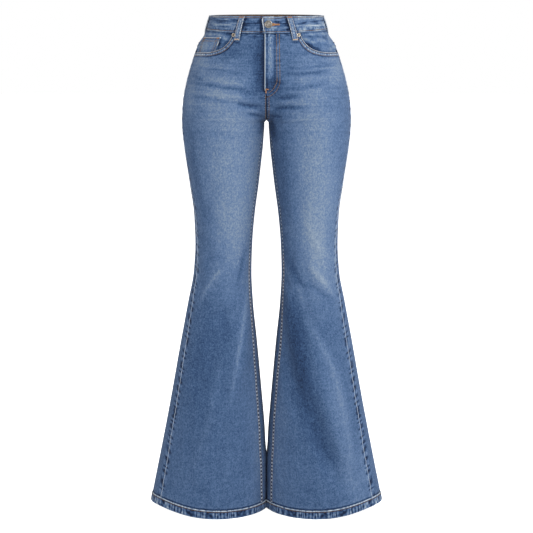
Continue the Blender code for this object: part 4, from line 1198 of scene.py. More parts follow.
def frontPanel(side):
    face, isLeft = faces[side, "front"], side == "left"
    even = evenly(front["columnsToScoop"] + front["columnsToFly"], 0.6)
    scoopEnd = shareAtX(face, cut["scoopTopX"], cut["scoopLevel"])
    toScoop = scoopEnd * (1 - np.linspace(1, 0, front["columnsToScoop"] + 1) ** 1.7)
    toFly = scoopEnd + (1 - scoopEnd) * evenly(front["columnsToFly"], 0.7)[1:]
    crowded = np.concatenate([toScoop, toFly])
    isMouth = crowded < scoopEnd
    tucked = bandZ(face, crowded) + front["tuck"]
    top = np.where(isMouth, np.minimum(tucked, scoopZ(face, crowded)), tucked)
    z = panelHeights(top, hemZ(face, even) + cut["hemDepth"] - front["tuck"], front["torsoRows"], front["legRows"])
    share = even + (crowded - even) * ease((z - cut["crotch"]) / -cut["crotch"] * 1.6)
    proud = flyLift(face, share, z)
    lift = rolled(proud, "top", "first", "last")
    lift[-3:] -= front["hemDrop"]
    outer = pointAt(face, share, z, lift)
    # the rubbed edge of the pocket mouth, the rope beside its sewing, a dark line inside the edge and painted shadow
    # below the lower row
    fromEdge, along = nearCurve(outer, pointAt(face, *scoopLine(side)))
    rope = beats(along, 0.0052, 0.5, 0.02, 61)
    wear = shades(fromEdge, frontLines["mouthWear"])
    tone = rope * shades(fromEdge, frontLines["mouthRope"]) + shades(fromEdge, frontLines["mouthTone"])
    fromFly = fromCentre(face, share, z)
    flyHigh = ease((z - front["flyEnd"]) / 0.006)
    if isLeft:
        # the lap's rubbed edge and its puckers, then the shading of the fly's two rows
        wear = wear + flyHigh * shades(fromFly, frontLines["lapWear"])
        rumples = softNoise(fromFly * 1.6, z * 0.8, 0.0050, 62) + 0.6 * softNoise(fromFly * 3.2, z * 0.5, 0.0075, 68)
        streaks = shades(fromFly, frontLines["lapRidge"]) * (0.75 + 0.65 * rumples)
        streaks = (streaks + shades(fromFly, frontLines["lapGroove"])) * ease((z + 0.136) / 0.012)
        tone = tone + flyHigh * (1.2 * streaks + shades(fromFly, frontLines["lapEdge"]))
        for number, name in enumerate(flyCurve):
            tone = tone + drawnIn(outer, pointAt(face, *flyRow(name), 0.001), 70 + number)
    else:
        # the shadow under the lap
        beyond = (fromFly - 0.0035).clip(0)
        tone = tone - flyHigh * (2.4 * np.exp(-beyond / 0.0028) + 1.0 * np.exp(-beyond / 0.012))
    for rowSide, rowShare, rowZ in map(crotchRow, crotchGaps):
        if rowSide == side:
            tone = tone + drawnIn(outer, pointAt(face, rowShare, rowZ), 74, pitch=0.0058)
    atSeam = ease((front["flyEnd"] - z) / 0.006) * ease((z - cut["crotch"]) / 0.004)
    beads = beats(z, 0.0046, 0.3, 0.02, 63)
    beaded = beads * shades(fromFly, frontLines["crotchBeads"])
    tone = tone + atSeam * (shades(fromFly, frontLines["crotchSeam"]) + beaded)
    # painted shadow under the waistband's edge, pale streaks on the puckers below it, and wider painted shade
    below = (z[0] - front["tuck"]) - z
    ripple, wide = softNoise(fromFly, z * 3, 0.014, 64), 0.4 + softNoise(fromFly, z * 2, 0.030, 65)
    tone = tone + ~isMouth * (shades(below, frontLines["underBand"]) + shades(below, frontLines["bandRipple"]) * ripple
                              + shades(below, frontLines["bandShadow"]) * wide)
    # painted shade in the step above the hem, and a faint pale line above that
    tone = tone + shades(z - z[-1] - front["tuck"], frontLines["aboveHem"])
    # shade between the legs near the hem, and in the corner of the crotch
    tone = tone - 1.5 * ease((-0.895 - z) / 0.04) * bell(outer[..., 0], 0.0045)
    tone = tone - 2.4 * bell(fromFly, 0.0045) * bell(z + 0.226, 0.011)
    inner = underside(face, share, z, proud - cut["denim"])
    if isLeft:
        reach = front["flyReach"] * ease((z[:, -1] - front["flyEnd"]) / front["reachFade"])
        for k, part in enumerate(front["reachShares"]):
            outer[:, -1 - k, 0] -= reach * part
        inner[:, -1, 0] -= reach[coarse]
    channels = panelChannels(face, share, z, wear, tone, seams=True)
    return dress(clothPiece("front" + side.title(), outer, inner, denim, channels), "front_" + side)


back = {"columns": 102, "torsoRows": 96, "legRows": 336}
yokeSizes = {"columns": 72, "rows": 36, "proud": 0.0006}


def backPanel(side):
    face = faces[side, "back"]
    even = evenly(back["columns"], 0.6)
    bottom = hemZ(face, even) + cut["hemDepth"] - front["tuck"]
    z = panelHeights(yokeZ(face, even) + front["tuck"], bottom, back["torsoRows"], back["legRows"])
    share = np.broadcast_to(even, z.shape)
    lift = rolled(np.zeros(z.shape), "top", "first", "last")
    lift[-3:] -= front["hemDrop"]
    outer = pointAt(face, share, z, lift)
    # shade above the hem, below the yoke and between the legs
    tone = -1.7 * bell(z - z[-1] - front["tuck"] - 0.0008, 0.0016) - 1.2 * bell(z[0] - front["tuck"] - z, 0.0016)
    fromInside = np.abs(outer[..., 0]) - np.maximum(sizeAt("innerBack", z), 0)
    tone = tone - 1.2 * ease((-0.56 - z) / 0.08) * bell(fromInside, 0.0030)
    channels = panelChannels(face, share, z, 0.0, tone, seams=True)
    inner = underside(face, share, z, -cut["denim"])
    return dress(clothPiece("back" + side.title(), outer, inner, denim, channels), "back_" + side)


def yokePiece(side):
    face = faces[side, "back"]
    even, down = evenly(yokeSizes["columns"], 0.5), evenly(yokeSizes["rows"], 0.5)[:, None]
    top = bandZ(face, even) + front["tuck"]
    z = top + (yokeZ(face, even) - top) * down
    share = np.broadcast_to(even, z.shape)
    lift = rolled(yokeSizes["proud"] * ease((down - 0.4) / 0.5) + 0 * z, "top", "bottom", "first", "last")
    channels = panelChannels(face, share, z, 0.4 * bell(z - z[-1], 0.0012))
    outer, inner = pointAt(face, share, z, lift), underside(face, share, z, -cut["denim"])
    return dress(clothPiece("yoke" + side.title(), outer, inner, denimPlain, channels), "yoke_" + side)


panels = {}
for side in sides:
    for part, makePiece in (("front", frontPanel), ("back", backPanel), ("yoke", yokePiece)):
        panels[part, side] = makePiece(side)
print("fronts, backs and yokes made")

facing = {
    "thick": 0.0013, "depth": 0.0046, "rise": 0.024, "sideDepth": 0.0022, "sideRise": 0.007, "inset": 0.006,
    "sewnIn": 0.02, "lap": 0.002, "under": 0.015, "columns": 60, "rows": 42, "paler": 0.07,
}
coin = {
    "topZ": -0.0455, "under": 0.011, "thick": 0.001, "lift": 0.0007, "topEdges": (0.0165, 0.0715),
    "lowEdges": (0.0125, 0.061), "columns": 48, "rows": 42, "high": 0.03, "wide": 0.052, "paler": 0.11,
    "edgeRoll": (0.0006, 0.0002, 0.0),
}
pocket = {
    "middleX": 0.084, "topZ": -0.104, "topWidth": 0.128, "lowWidth": 0.110, "side": 0.112, "point": 0.018,
    "slant": 0.009, "lift": 0.0007, "pillow": 0.0007, "columns": 72, "rows": 72,
}


def facingLift(face, share, z):
    # the facing lies behind the front and comes up level with it towards the waistband
    above = z - scoopZ(face, share)
    inside = ease(share * widthAt(face, z) / facing["sewnIn"])
    depth = facing["sideDepth"] + (facing["depth"] - facing["sideDepth"]) * inside
    rise = facing["sideRise"] + (facing["rise"] - facing["sideRise"]) * inside
    return -depth * (1 - ease((above - facing["lap"]) / rise))


def facingEdges(face, share, top):
    return np.minimum(scoopZ(face, share), top - 0.002) - facing["under"]


def facingPiece(side):
    face = faces[side, "front"]
    even = shareAtX(face, cut["scoopTopX"] - facing["inset"], cut["scoopLevel"]) * evenly(facing["columns"], 0.4)
    top = bandZ(face, even) + front["tuck"]
    z = top + (facingEdges(face, even, top) - top) * evenly(facing["rows"])[:, None]
    share = np.broadcast_to(even, z.shape)
    lift = facingLift(face, share, z)
    outer = pointAt(face, share, z, rolled(lift, "top", "first"))
    # shade behind the pocket mouth and under the waistband, with uneven streaks and the larger creases
    across, over = share * widthAt(face, z), (z - scoopZ(face, share)).clip(0)
    tone = 0.5 * softNoise(across, z * 2.2 + share * 0.03, 0.024, 66) * ease(over / 0.01)
    tone = tone - (1.5 * np.exp(-over / 0.0022) + 0.5 * np.exp(-over / 0.008)) * ease(across / 0.02)
    tone = tone + creaseLines("facing", face["sign"], np.abs(outer[..., 0]), z)[1] - bell(z[0] - z - 0.003, 0.0025)
    channels = panelChannels(face, share, z, tone=tone, fade=facing["paler"])
    inner = underside(face, share, z, lift - facing["thick"])
    piece = clothPiece("pocketFacing" + side.title(), outer, inner, denimPocket, channels)
    return dress(piece, "pocket_facing_" + side)


def coinGrid(down, across):
    # down and across run from 0 to 1 over the coin pocket, which narrows downwards
    face = faces["right", "front"]
    near, far = ((1 - down) * coin["topEdges"][i] + down * coin["lowEdges"][i] for i in (0, 1))
    share = (near + (far - near) * across) / widthAt(face, coin["topZ"])
    z = coin["topZ"] + (scoopZ(face, share) - coin["under"] - coin["topZ"]) * down
    return share, z, facingLift(face, share, z) + coin["lift"] + coin["thick"]


def coinPiece():
    face = faces["right", "front"]
    down, across = evenly(coin["rows"], 0.4)[:, None], evenly(coin["columns"], 0.6)
    share, z, lift = coinGrid(down, across)
    outer = pointAt(face, share, z, rolled(lift, "top", "first", "last", amounts=coin["edgeRoll"]))
    # rubbed edges, dark lines inside them, and shade behind the pocket mouth
    edge, fromTop = np.minimum(across, 1 - across) * coin["wide"], down * coin["high"]
    rubbed = 0.75 + 0.5 * softNoise(fromTop, across * 0.05, 0.009, 67)
    wear = rubbed * bell(edge, 0.0012) + 1.2 * bell(fromTop, 0.0011)
    tone = 0.2 * softNoise(fromTop, across * 0.05, 0.010, 69) - 1.3 * np.exp(-(z - scoopZ(face, share)).clip(0) / 0.004)
    tone = tone - 0.8 * bell(edge - 0.0032, 0.0012) - 0.9 * bell(fromTop - 0.0028, 0.0009)
    channels = panelChannels(face, share, z, wear, tone, coin["paler"])
    inner = underside(face, share, z, lift - coin["thick"])
    return dress(clothPiece("coinPocket", outer, inner, denimPocket, channels), "coin_pocket")


def pocketPlace(side, across, down):
    # across is -0.5 at the centre seam's side and 0.5 at the side seam's, down is 0 at the pocket's mouth
    face = faces[side, "back"]
    low = -pocket["side"] - pocket["point"] * (1 - 2 * np.abs(across))
    z = pocket["topZ"] + pocket["slant"] * across + low * down
    x = pocket["middleX"] + across * (pocket["topWidth"] + (pocket["lowWidth"] - pocket["topWidth"]) * down)
    return shareAtX(face, x, z), z


def backPocket(side):
    face = faces[side, "back"]
    across, down = evenly(pocket["columns"], 0.6) - 0.5, evenly(pocket["rows"], 0.6)[:, None]
    share, z = pocketPlace(side, across, down)
    flatness = [np.clip(1 - (2 * np.abs(place)) ** 4, 0, 1) for place in (across, down - 0.5)]
    lift = pocket["lift"] + cut["denim"] + pocket["pillow"] * flatness[0] * flatness[1] + 0 * z
    outer = pointAt(face, share, z, rolled(lift, "top", "bottom", "first", "last"))
    fromSides = np.minimum((0.5 - np.abs(across)) * pocket["topWidth"], (1 - down) * pocket["side"])
    edge = np.minimum(fromSides, down * pocket["side"])
    channels = panelChannels(face, share, z, 0.6 * bell(edge, 0.0013), -0.5 * bell(edge - 0.0045, 0.0018))
    inner = underside(face, share, z, pocket["lift"])
    return dress(clothPiece("backPocket" + side.title(), outer, inner, denimPlain, channels), "back_pocket_" + side)


facings = {side: facingPiece(side) for side in sides}
backPockets = {side: backPocket(side) for side in sides}
coinPocket = coinPiece()
print("pockets made")

hem = {
    "proud": 0.0005, "thick": 0.003, "columns": 600, "rows": 18, "row": 0.0153, "rope": 0.0088, "ropeDepth": 0.00042,
    "ropeDrift": 0.042, "ropeLean": 0.09, "ridge": 0.0177, "ridgeHeight": 0.00025, "stitchDepth": 0.00035,
}


def hemPlaces(side, count=hem["columns"]):
    # all round the leg: down the front from side seam to inseam, then along the back to the side seam again
    t = np.linspace(0, 1, count // 2, endpoint=False)
    return [(faces[side, "front"], t), (faces[side, "back"], 1 - t)]


def hemPiece(side):
    up = evenly(hem["rows"], 0.5)[:, None] * cut["hemDepth"]
    outer, inner, uvs, washAndShadeParts, start = [], [], [], [], 0.0
    for face, share in hemPlaces(side):
        isFront = face["part"] == "front"
        z, width = hemZ(face, share) + up, widthAt(face, cut["hem"])
        along = start + (share if isFront else 1 - share) * width
        start += width
        # slanting ropes below the row of sewing, a ridge above it and both edges turned in
        wave = beats(along, hem["rope"], 1.0, hem["ropeDrift"], 41, 2 * pi * up / hem["ropeLean"])
        rope = wave * np.sin(pi * np.clip(up / hem["row"], 0, 1)) ** 0.5
        ridge, stitched = bell(up - hem["ridge"], 0.0012), bell(up - hem["row"], 0.0009)
        topEdge = bell(cut["hemDepth"] - up, 0.0006)
        lift = hem["proud"] + hem["ropeDepth"] * rope + hem["ridgeHeight"] * ridge - hem["stitchDepth"] * stitched
        outer.append(pointAt(face, share, z, lift - 0.0009 * bell(up, 0.0009) - 0.0007 * topEdge))
        inner.append(underside(face, share, z, hem["proud"] - hem["thick"]))
        seamSpot = bell(share * width - 0.008, 0.007) * (up < hem["row"]) * (not isFront)
        # pale and dark ropes, painted shade in the stitched groove and along the turned-in top edge, and wear on the
        # bottom fold, the ridge and beside the seam
        tone = 1.5 * rope + 0.8 * softNoise(along, up, 0.010, 43) - 1.5 * stitched - 1.6 * topEdge
        wear = 0.60 * bell(up, 0.0018) + (1.7 + 0.5 * wave) * ridge + 0.6 * seamSpot
        uvs.append(stack(along, z))
        washAndShadeParts.append(stack(-0.05 + 0 * z, tone, wear))
    outer, inner, cloth, wash = (np.concatenate(grids, axis=1) for grids in (outer, inner, uvs, washAndShadeParts))
    piece = clothPiece("hem" + side.title(), outer, inner, denimPlain, {"cloth": cloth, "wash": wash}, closed=True)
    return dress(piece, "hem_" + side)


hems = {side: hemPiece(side) for side in sides}
print("hems made")

band = {
    "overEnd": -0.0095, "endSlant": 0.45, "underEnd": 0.016, "overLift": 0.0031, "overFlat": 0.020, "overFade": 0.024,
    "halfColumns": 132, "round": 0.0060, "bulge": 0.0004, "lapDrop": 0.0014, "seamRipple": 0.00012, "streak": 0.00016,
}
# worn and shaded lines up the band, as shares of its height
bandLines = {
    "lower": ((0.19, 0.07, 1.0),), "upper": ((0.85, 0.05, 1.0),), "sewn": ((0.075, 0.022, -0.7), (0.925, 0.020, -0.5)),
}
# creases along the band: distance along the cloth from the middle of the front (right side negative) in
# millimetres, height in the band (0 bottom, 1 top), relief in millimetres, half height, tone (painted shade in a
# trough, painted highlight on a ridge)
bandCreases = (
    (-175, -58, 0.76, 0.66, -0.45, 0.045, -1.1), (-118, -80, 0.61, 0.55, -0.25, 0.030, -0.7),
    (-175, -92, 0.40, 0.50, 0.35, 0.050, 0.8), (-106, -57, 0.51, 0.36, 0.45, 0.060, 1.1),
    (-150, -60, 0.90, 0.86, 0.20, 0.040, 0.4), (-96, -70, 0.79, 0.77, 0.15, 0.025, 0.5),
    (-56, -20, 0.56, 0.56, -0.40, 0.055, -1.1), (-38, -16, 0.86, 0.80, 0.30, 0.080, 0.9),
    (-46, -31, 0.29, 0.33, 0.30, 0.055, 0.7), (-34, -20, 0.18, 0.24, 0.30, 0.090, 0.9),
    (10, 42, 0.68, 0.54, -0.40, 0.050, -1.2), (12, 34, 0.86, 0.80, 0.30, 0.070, 0.8),
    (24, 45, 0.25, 0.31, 0.30, 0.070, 0.9), (6, 22, 0.32, 0.35, 0.20, 0.060, 0.6),
    (52, 90, 0.42, 0.62, -0.40, 0.045, -1.2), (76, 175, 0.60, 0.70, -0.40, 0.045, -1.1),
    (66, 118, 0.50, 0.59, -0.20, 0.028, -0.6), (54, 112, 0.42, 0.37, 0.45, 0.055, 1.1),
    (92, 175, 0.37, 0.35, 0.40, 0.055, 0.9), (60, 165, 0.92, 0.86, 0.20, 0.035, 0.6),
    (64, 86, 0.86, 0.83, -0.15, 0.025, -0.5), (74, 96, 0.76, 0.79, 0.15, 0.025, 0.5),
    (180, 330, 0.66, 0.60, -0.30, 0.06, -0.7), (200, 350, 0.34, 0.40, 0.30, 0.06, 0.5),
    (-330, -190, 0.62, 0.68, -0.30, 0.06, -0.7), (-350, -200, 0.36, 0.32, 0.30, 0.06, 0.5),
)


def overShare(fromMiddle):
    # 1 where the buttoned end lies over the other one, easing to 0 beside it
    return 1 - ease((fromMiddle - band["overFlat"]) / band["overFade"])


def bandRelief(along, t):
    # the band's creases, streaks and seam ripples as heights, and the tones that go with them: painted shade where they
    # sink and painted highlight where they rise
    height, tone = 0 * along * t, 0 * along * t
    for start, stop, first, last, relief, half, shade in bandCreases:
        s = (along * 1000 - start) / (stop - start)
        shape = bell(t - first - (last - first) * s, half) * np.sin(pi * np.clip(s, 0, 1)) ** 0.5
        height, tone = height + relief / 1000 * shape, tone + 1.3 * shade * shape
    streaks = softNoise(along * 0.20, t * 0.0335, 0.0062, 54, 20)
    ripple = beats(along, 0.0088, 0.8, 0.05, 51)
    lower, upper = shades(t, bandLines["lower"]), shades(t, bandLines["upper"])
    height = height + band["seamRipple"] * ripple * (lower + 0.5 * upper) + band["streak"] * streaks
    tone = 1.15 * tone + 0.6 * streaks + ripple * lower + 0.3 * ripple * upper
    tone = tone + 0.2 * softNoise(along, t * 0.04, 0.010, 55)
    middle = ease((0.047 - np.abs(along)) / 0.006) * ease((np.abs(along - 0.002) - 0.010) / 0.006)
    tone = tone + shades(t, bandLines["sewn"]) - 0.55 * middle + np.where(along > 0, 0.40, 0.10) * (1 - middle)
    # shadows beside the two front belt loops
    for centre, lean in ((-0.0502, 0.0073), (0.0466, 0.0088)):
        inwards = (centre + np.sign(centre) * lean * (1 - t) - along) * np.sign(centre)
        tone = tone - 1.5 * bell(inwards - 0.0072, 0.0024) - 1.4 * bell(inwards + 0.0072, 0.0022)
        tone = tone - 1.0 * np.exp(-(inwards - 0.006).clip(0) / 0.006) * (inwards > 0)
        tone = tone - 0.5 * np.exp(-(-inwards - 0.006).clip(0) / 0.005) * (inwards < 0)
    return height, tone


def bandAround(number, face, share):
    # the signed distance along the band from the middle of the front
    fromMiddle = fromCentre(face, share)
    if number in (0, 1, 5):
        return -fromMiddle if number == 0 else fromMiddle
    if face["part"] == "back":
        fromMiddle = widthAt(faces["left", "front"], cut["bandLevel"]) + share * widthAt(face, cut["bandLevel"])
    return face["sign"] * fromMiddle


def bandStretches():
    # from the buttoned end, round the left side, the back and the right side, to the end that lies below
    half = evenly(band["halfColumns"])
    over = shareAtX(faces["right", "front"], band["overEnd"], cut["bandLevel"])
    under = shareAtX(faces["left", "front"], band["underEnd"], cut["bandLevel"])
    return (
        ("right", "front", np.linspace(over, 1, 11)[:-1]),
        ("left", "front", half[::-1]),
        ("left", "back", half[1:]),
        ("right", "back", half[-2::-1]),
        ("right", "front", half[1:-1]),
        ("left", "front", np.linspace(1, under, 14)),
    )


def bandEdges(number, face, share):
    # how far this stretch lies over the other end, and the heights of its lower and upper edges
    onTop = {0: 1 + 0 * share, 1: overShare(fromCentre(face, share))}.get(number, 0 * share)
    return onTop, bandZ(face, share), waistZ(face, share) - band["lapDrop"] * onTop


def waistbandPiece():
    # one cross-section, up the outside, over the top edge, down the inside and back under, carried all round
    fold = np.array([0.0004, 0.0013, 0.0022])
    t = np.concatenate([evenly(24, 0.5), [1.018, 1.024, 1.018], np.linspace(1, 0, 9), [-0.014, -0.02, -0.014]])[:, None]
    offset = np.concatenate([np.zeros(25), -fold, np.full(9, -cut["bandThick"]), -fold[::-1]])[:, None]
    outside = np.concatenate([np.ones(25), [0.6], np.zeros(14)])[:, None]
    grids, uvs, washAndShadeParts = [], [], []
    for number, (side, part, share) in enumerate(bandStretches()):
        face = faces[side, part]
        onTop, low, high = bandEdges(number, face, share)
        tuckedUnder = {5: 1 + 0 * share, 4: overShare(fromCentre(face, share))}.get(number, 0 * share)
        around, slant = bandAround(number, face, share), 0 * t
        relief, tone = bandRelief(around, t)
        edge = (0.7 + 0.6 * onTop) * bell((1.0 - t) * cut["bandHeight"], 0.0013)
        edge = edge + 0.5 * bell(t * cut["bandHeight"], 0.0012)
        if number == 0:
            # the buttoned end slants and has a rounded upper corner
            fromEnd = np.abs(pointAt(face, share, cut["bandLevel"])[:, 0] - band["overEnd"])
            slant = band["endSlant"] * (1 - share) * (1 - np.clip(t, 0, 1))
            inCorner = (band["round"] - fromEnd).clip(0)
            corner = band["round"] - np.sqrt((band["round"] ** 2 - inCorner**2).clip(0))
            low, high = low + 0.5 * corner, high - corner
            edge = edge + 2.0 * bell(fromEnd, 0.0016)
            tone = tone - 1.2 * bell(fromEnd - 0.0034, 0.0009)
        if number == 4:
            # painted shadow cast by the buttoned end on the band beneath it
            tone = tone - 2.0 * bell(around + 0.0100, 0.0030) - 0.6 * bell(around + 0.0100, 0.0080)
        z = low + (high - low) * t
        bulge = band["bulge"] * np.sin(pi * np.clip(t, 0, 1))
        lift = cut["bandProud"] + offset + band["overLift"] * onTop + (relief + bulge - 0.0004 * tuckedUnder) * outside
        grids.append(pointAt(face, share + slant, z, lift))
        uvs.append(stack(around, (high - low) * t))
        washAndShadeParts.append(stack(0.13 * outside - 0.10 + 0 * z, tone * outside, edge * outside))
    points, cloth, wash = (np.concatenate(parts, axis=1) for parts in (grids, uvs, washAndShadeParts))
    index = numbered(points)
    cells = np.roll(quads(np.concatenate([index, index[:1]]))[:, ::-1], 1, axis=1)
    blocks = [cells, index[:, 0][None], index[::-1, -1][None]]
    corner, middle = points[10, 40], points[32, 40]
    if np.dot(np.cross(points[10, 41] - corner, points[11, 40] - corner), corner - middle) < 0:
        blocks = [block[:, ::-1] for block in blocks]
    mesh = meshFrom("bandCloth", points.reshape(-1, 3), blocks)
    storeOn(mesh, cloth=cloth, wash=wash)
    piece = newObject("bandCloth", mesh, denimBand, bandTape)
    inside = np.isin(np.arange(len(index)), np.arange(27, 37))
    useSecondMaterial(mesh, np.flatnonzero(np.repeat(inside, index.shape[1] - 1)))
    return dress(piece, "waistband")


waistband = waistbandPiece()
print("waistband made")


def onBand(x, t, lift=0.0):
    # points on the band's outside at signed x, t of the way up it
    x, t = np.broadcast_arrays(np.asarray(x, float), np.asarray(t, float))
    points, normals = np.empty(x.shape + (3,)), np.empty(x.shape + (3,))
    for side in sides:
        face = faces[side, "front"]
        share = shareAtX(face, x, cut["bandLevel"])
        low, high = bandZ(face, share), waistZ(face, share)
        z, along = low + (high - low) * t, fromCentre(face, share)
        relief = bandRelief(along * face["sign"], t)[0] + band["bulge"] * np.sin(pi * np.clip(t, 0, 1))
        onTop = overShare(along) if side == "left" else 1.0
        here = (x >= 0) == (side == "left")
        points[here] = pointAt(face, share, z, cut["bandProud"] + relief + band["overLift"] * onTop + lift)[here]
        normals[here] = normalAt(face, share, z)[here]
    return points, normals


loop = {
    "width": 0.011, "thick": 0.0018, "stand": 0.0028, "lift": 0.0008, "stepDown": 0.009, "rows": 60, "flat": 0.44,
    "groove": 0.00035, "ripple": 0.00012, "sway": 0.012, "length": 0.045, "paler": 0.12,
}
loopNames = ("node", "side", "part", "top", "low", "below")
loops = (
    ("belt_loop_front_right", "right", "front", 0.0502, 0.0612, 0.0162),
    ("belt_loop_front_left", "left", "front", 0.0466, 0.0594, 0.0165),
    ("belt_loop_side_right", "right", "back", 0.1510, 0.1600, 0.014),
    ("belt_loop_side_left", "left", "back", 0.1510, 0.1600, 0.014),
    ("belt_loop_back", "left", "back", 0.0000, 0.0000, 0.015),
)


def loopEnds(row):
    # the loop's panel, its place along the band, and the band's edges there
    face = faces[row["side"], row["part"]]
    middle = 1 - row["top"] / widthAt(face, cut["bandLevel"])
    return face, waistZ(face, middle), bandZ(face, middle)


def onLoop(row, down, across, offset):
    # across is -0.5 to 0.5 over the loop's width, down 0 to 1 along it, offset up from its underside
    face, top, low = loopEnds(row)
    top = top - 0.0005
    z = top + (low - row["below"] - top) * down
    away = row["top"] + (row["low"] - row["top"]) * down + across * loop["width"]
    share = 1 - np.abs(away) / widthAt(face, z)
    stand = loop["stand"] * np.sin(pi * np.clip(down * 1.04, 0, 1)) ** 0.7
    onIt = 1 - ease((low - 0.002 - z) / loop["stepDown"])
    found = (pointAt(face, share, z, loop["lift"] + cut["bandProud"] * onIt + stand + offset), normalAt(face, share, z))
    for vectors in found:
        vectors[..., 0] = np.where(away < 0, -vectors[..., 0], vectors[..., 0])
    return found


def loopPiece(row):
    # the cross-section has rounded edges, a ridge beside each edge and a shallow middle
    turn, half, edge = np.linspace(0, pi, 7)[1:-1], loop["thick"] / 2, loop["flat"]
    flat = crowd(np.linspace(0, 1, 17), 0.2) - 0.5
    rounded = edge + (0.5 - edge) * np.sin(turn)
    across = np.concatenate([flat * 2 * edge, rounded, flat[::-1] * 2 * edge, -rounded])
    top = half * 2 - loop["groove"] * np.cos(pi * flat * 2.2).clip(0, 1)
    offset = np.concatenate([top, half + half * np.cos(turn), np.zeros(17), half - half * np.cos(turn)])
    down = evenly(loop["rows"], 0.4)[:, None]
    ripple = loop["ripple"] * np.sin(2 * pi * down / 0.09 + 3 * np.sign(across)) * (np.abs(across) > 0.25)
    points, _ = onLoop(row, down, across + loop["sway"] * np.sin(down * 23 + across), offset + ripple)
    index = numbered(points)
    cells = np.roll(quads(numbered(points, closed=True))[:, ::-1], 1, axis=1)
    blocks = [cells, index[0, ::-1][None], index[-1][None]]
    corner = points[20, 8]
    if np.dot(np.cross(points[20, 9] - corner, points[21, 8] - corner), corner - points[20, 30]) > 0:
        blocks = [block[:, ::-1] for block in blocks]
    mesh = meshFrom("beltLoop", points.reshape(-1, 3), blocks)
    wear = 0.95 * bell(0.5 - np.abs(across), 0.09) + 0.30 * bell(across, 0.12)
    wear = wear + 0.10 * np.sin(down * 31 + 2 * across) ** 4
    tone = -0.9 * bell(np.abs(across) - 0.24, 0.06) - 1.2 * bell(down - 0.88, 0.02)
    wide, long = across * loop["width"], down * loop["length"]
    tone = tone + 0.9 * softNoise(wide, long, 0.0042, 80 + len(row["node"]))
    storeOn(mesh, cloth=stack(wide, long), wash=stack(loop["paler"], tone, wear))
    return dress(newObject("beltLoop" + row["node"][9:].title().replace("_", ""), mesh, denimPlain), row["node"])


loopRows = [dict(zip(loopNames, values)) for values in loops]
beltLoops = [(row, loopPiece(row)) for row in loopRows]
print("belt loops made")

sewing = {"doubleGap": 0.0064, "scoopGap": 0.0060, "patchGap": 0.0062}
threadRows = {kind: [] for kind in ("Tan", "Grey", "Pale", "Dusk", "Bright", "Cream", "Brown")}


def sew(kind, path, **how):
    threadRows[kind].append(runStitches(*path, **how))


def sewBar(kind, path, width, **how):
    threadRows[kind].append(satinStitches(*path, width, **how))


def legPath(face, fromSeam, top, bottom, atSide):
    # a path that keeps its distance from the side seam, or from the inseam
    z = np.linspace(top, bottom, 420)
    share = fromSeam * (1 if atSide else seamScale(z)) / widthAt(face, z)
    return seamRow(face, share if atSide else 1 - share, z, 0.0003)


def coinRow(down, across, lift=0.0002):
    share, z, high = coinGrid(*np.broadcast_arrays(down, across))
    return seamRow(faces["right", "front"], share, z, high + lift)


onPocket = pocket["lift"] + cut["denim"]
for side in sides:
    frontFace, backFace = faces[side, "front"], faces[side, "back"]
    # side seam: one pale row on the front, from the pocket to the hem
    sew("Pale", legPath(frontFace, 0.0022, -0.088, cut["hem"] + 0.034, True), pitch=0.0036, radius=0.0006, fill=1.4)
    # inseam: two rows on the front
    for gap in (0.0012, 0.0094):
        sew("Grey", legPath(frontFace, gap, -0.50, cut["hem"] + 0.022, False), pitch=0.0038, radius=0.00036, fill=1.2)
        sew("Dusk", legPath(frontFace, gap, -0.224, -0.50, False), pitch=0.0038, radius=0.0003)
    # the pocket mouth: two rows that follow its curve
    for gap in (0.0022, 0.0022 + sewing["scoopGap"]):
        share, z = scoopLine(side, gap)
        sew("Tan", seamRow(frontFace, share, z, flyLift(frontFace, share, z) + 0.0002))
    # yoke, two rows on the back below it
    share = np.linspace(0.005, 0.995, 120)
    for gap in (0.0016, 0.0016 + sewing["doubleGap"]):
        sew("Tan", seamRow(backFace, share, yokeZ(backFace, share) + gap + 0.0006, 0.0009))
    # back pocket: two rows in from its edges, two across its mouth and a bar at each end of the mouth
    for gap in (0.0018, 0.0018 + sewing["patchGap"]):
        right, low = 0.5 - gap / pocket["topWidth"], 1 - gap / (pocket["side"] + pocket["point"])
        corners = np.array([(-right, 0.02), (-right, low), (0.0, low), (right, low), (right, 0.02)])
        across, down = np.concatenate(np.linspace(corners[:-1], corners[1:], 60, axis=1)).T
        sew("Tan", seamRow(backFace, *pocketPlace(side, across, down), onPocket + 0.0006))
    for down in (0.018, 0.125):
        place = pocketPlace(side, np.linspace(-0.485, 0.485, 80), down)
        sew("Tan", seamRow(backFace, *place, onPocket + 0.0007))
    for across in (-0.487, 0.487):
        place = pocketPlace(side, across, np.linspace(0.01, 0.085, 20))
        sewBar("Bright", seamRow(backFace, *place, onPocket + 0.0006), 0.0026)

# centre seams: two rows below the fly, and two all down the back
leftFront, leftBack = faces["left", "front"], faces["left", "back"]
for rowSide, share, z in map(crotchRow, crotchGaps):
    sew("Tan", seamRow(faces[rowSide, "front"], share, z, 0.0006))
z = np.linspace(float(bandZ(leftBack, 1.0)) - 0.002, -0.214, 160)
for gap in (0.0016, 0.0016 + sewing["doubleGap"]):
    sew("Tan", seamRow(leftBack, shareAtX(leftBack, gap, z), z, 0.0006))

# fly: two rows down beside the lap and round under it, and two bars at its foot
for share, z in map(flyRow, flyCurve):
    sew("Tan", seamRow(leftFront, share, z, flyLift(leftFront, share, z) + 0.0002), fill=1.2)
for start, stop in (((-0.001, -0.1500), (0.0048, -0.1512)), ((-0.0012, -0.1500), (-0.0010, -0.1585))):
    x, z = np.linspace(start, stop, 20).T
    share = shareAtX(leftFront, np.maximum(x, 0.0004), z)
    points, normals = seamRow(leftFront, share, z, flyLift(leftFront, share, z) + 0.0006)
    points[:, 0] = x
    sewBar("Bright", (points, normals), 0.0024)

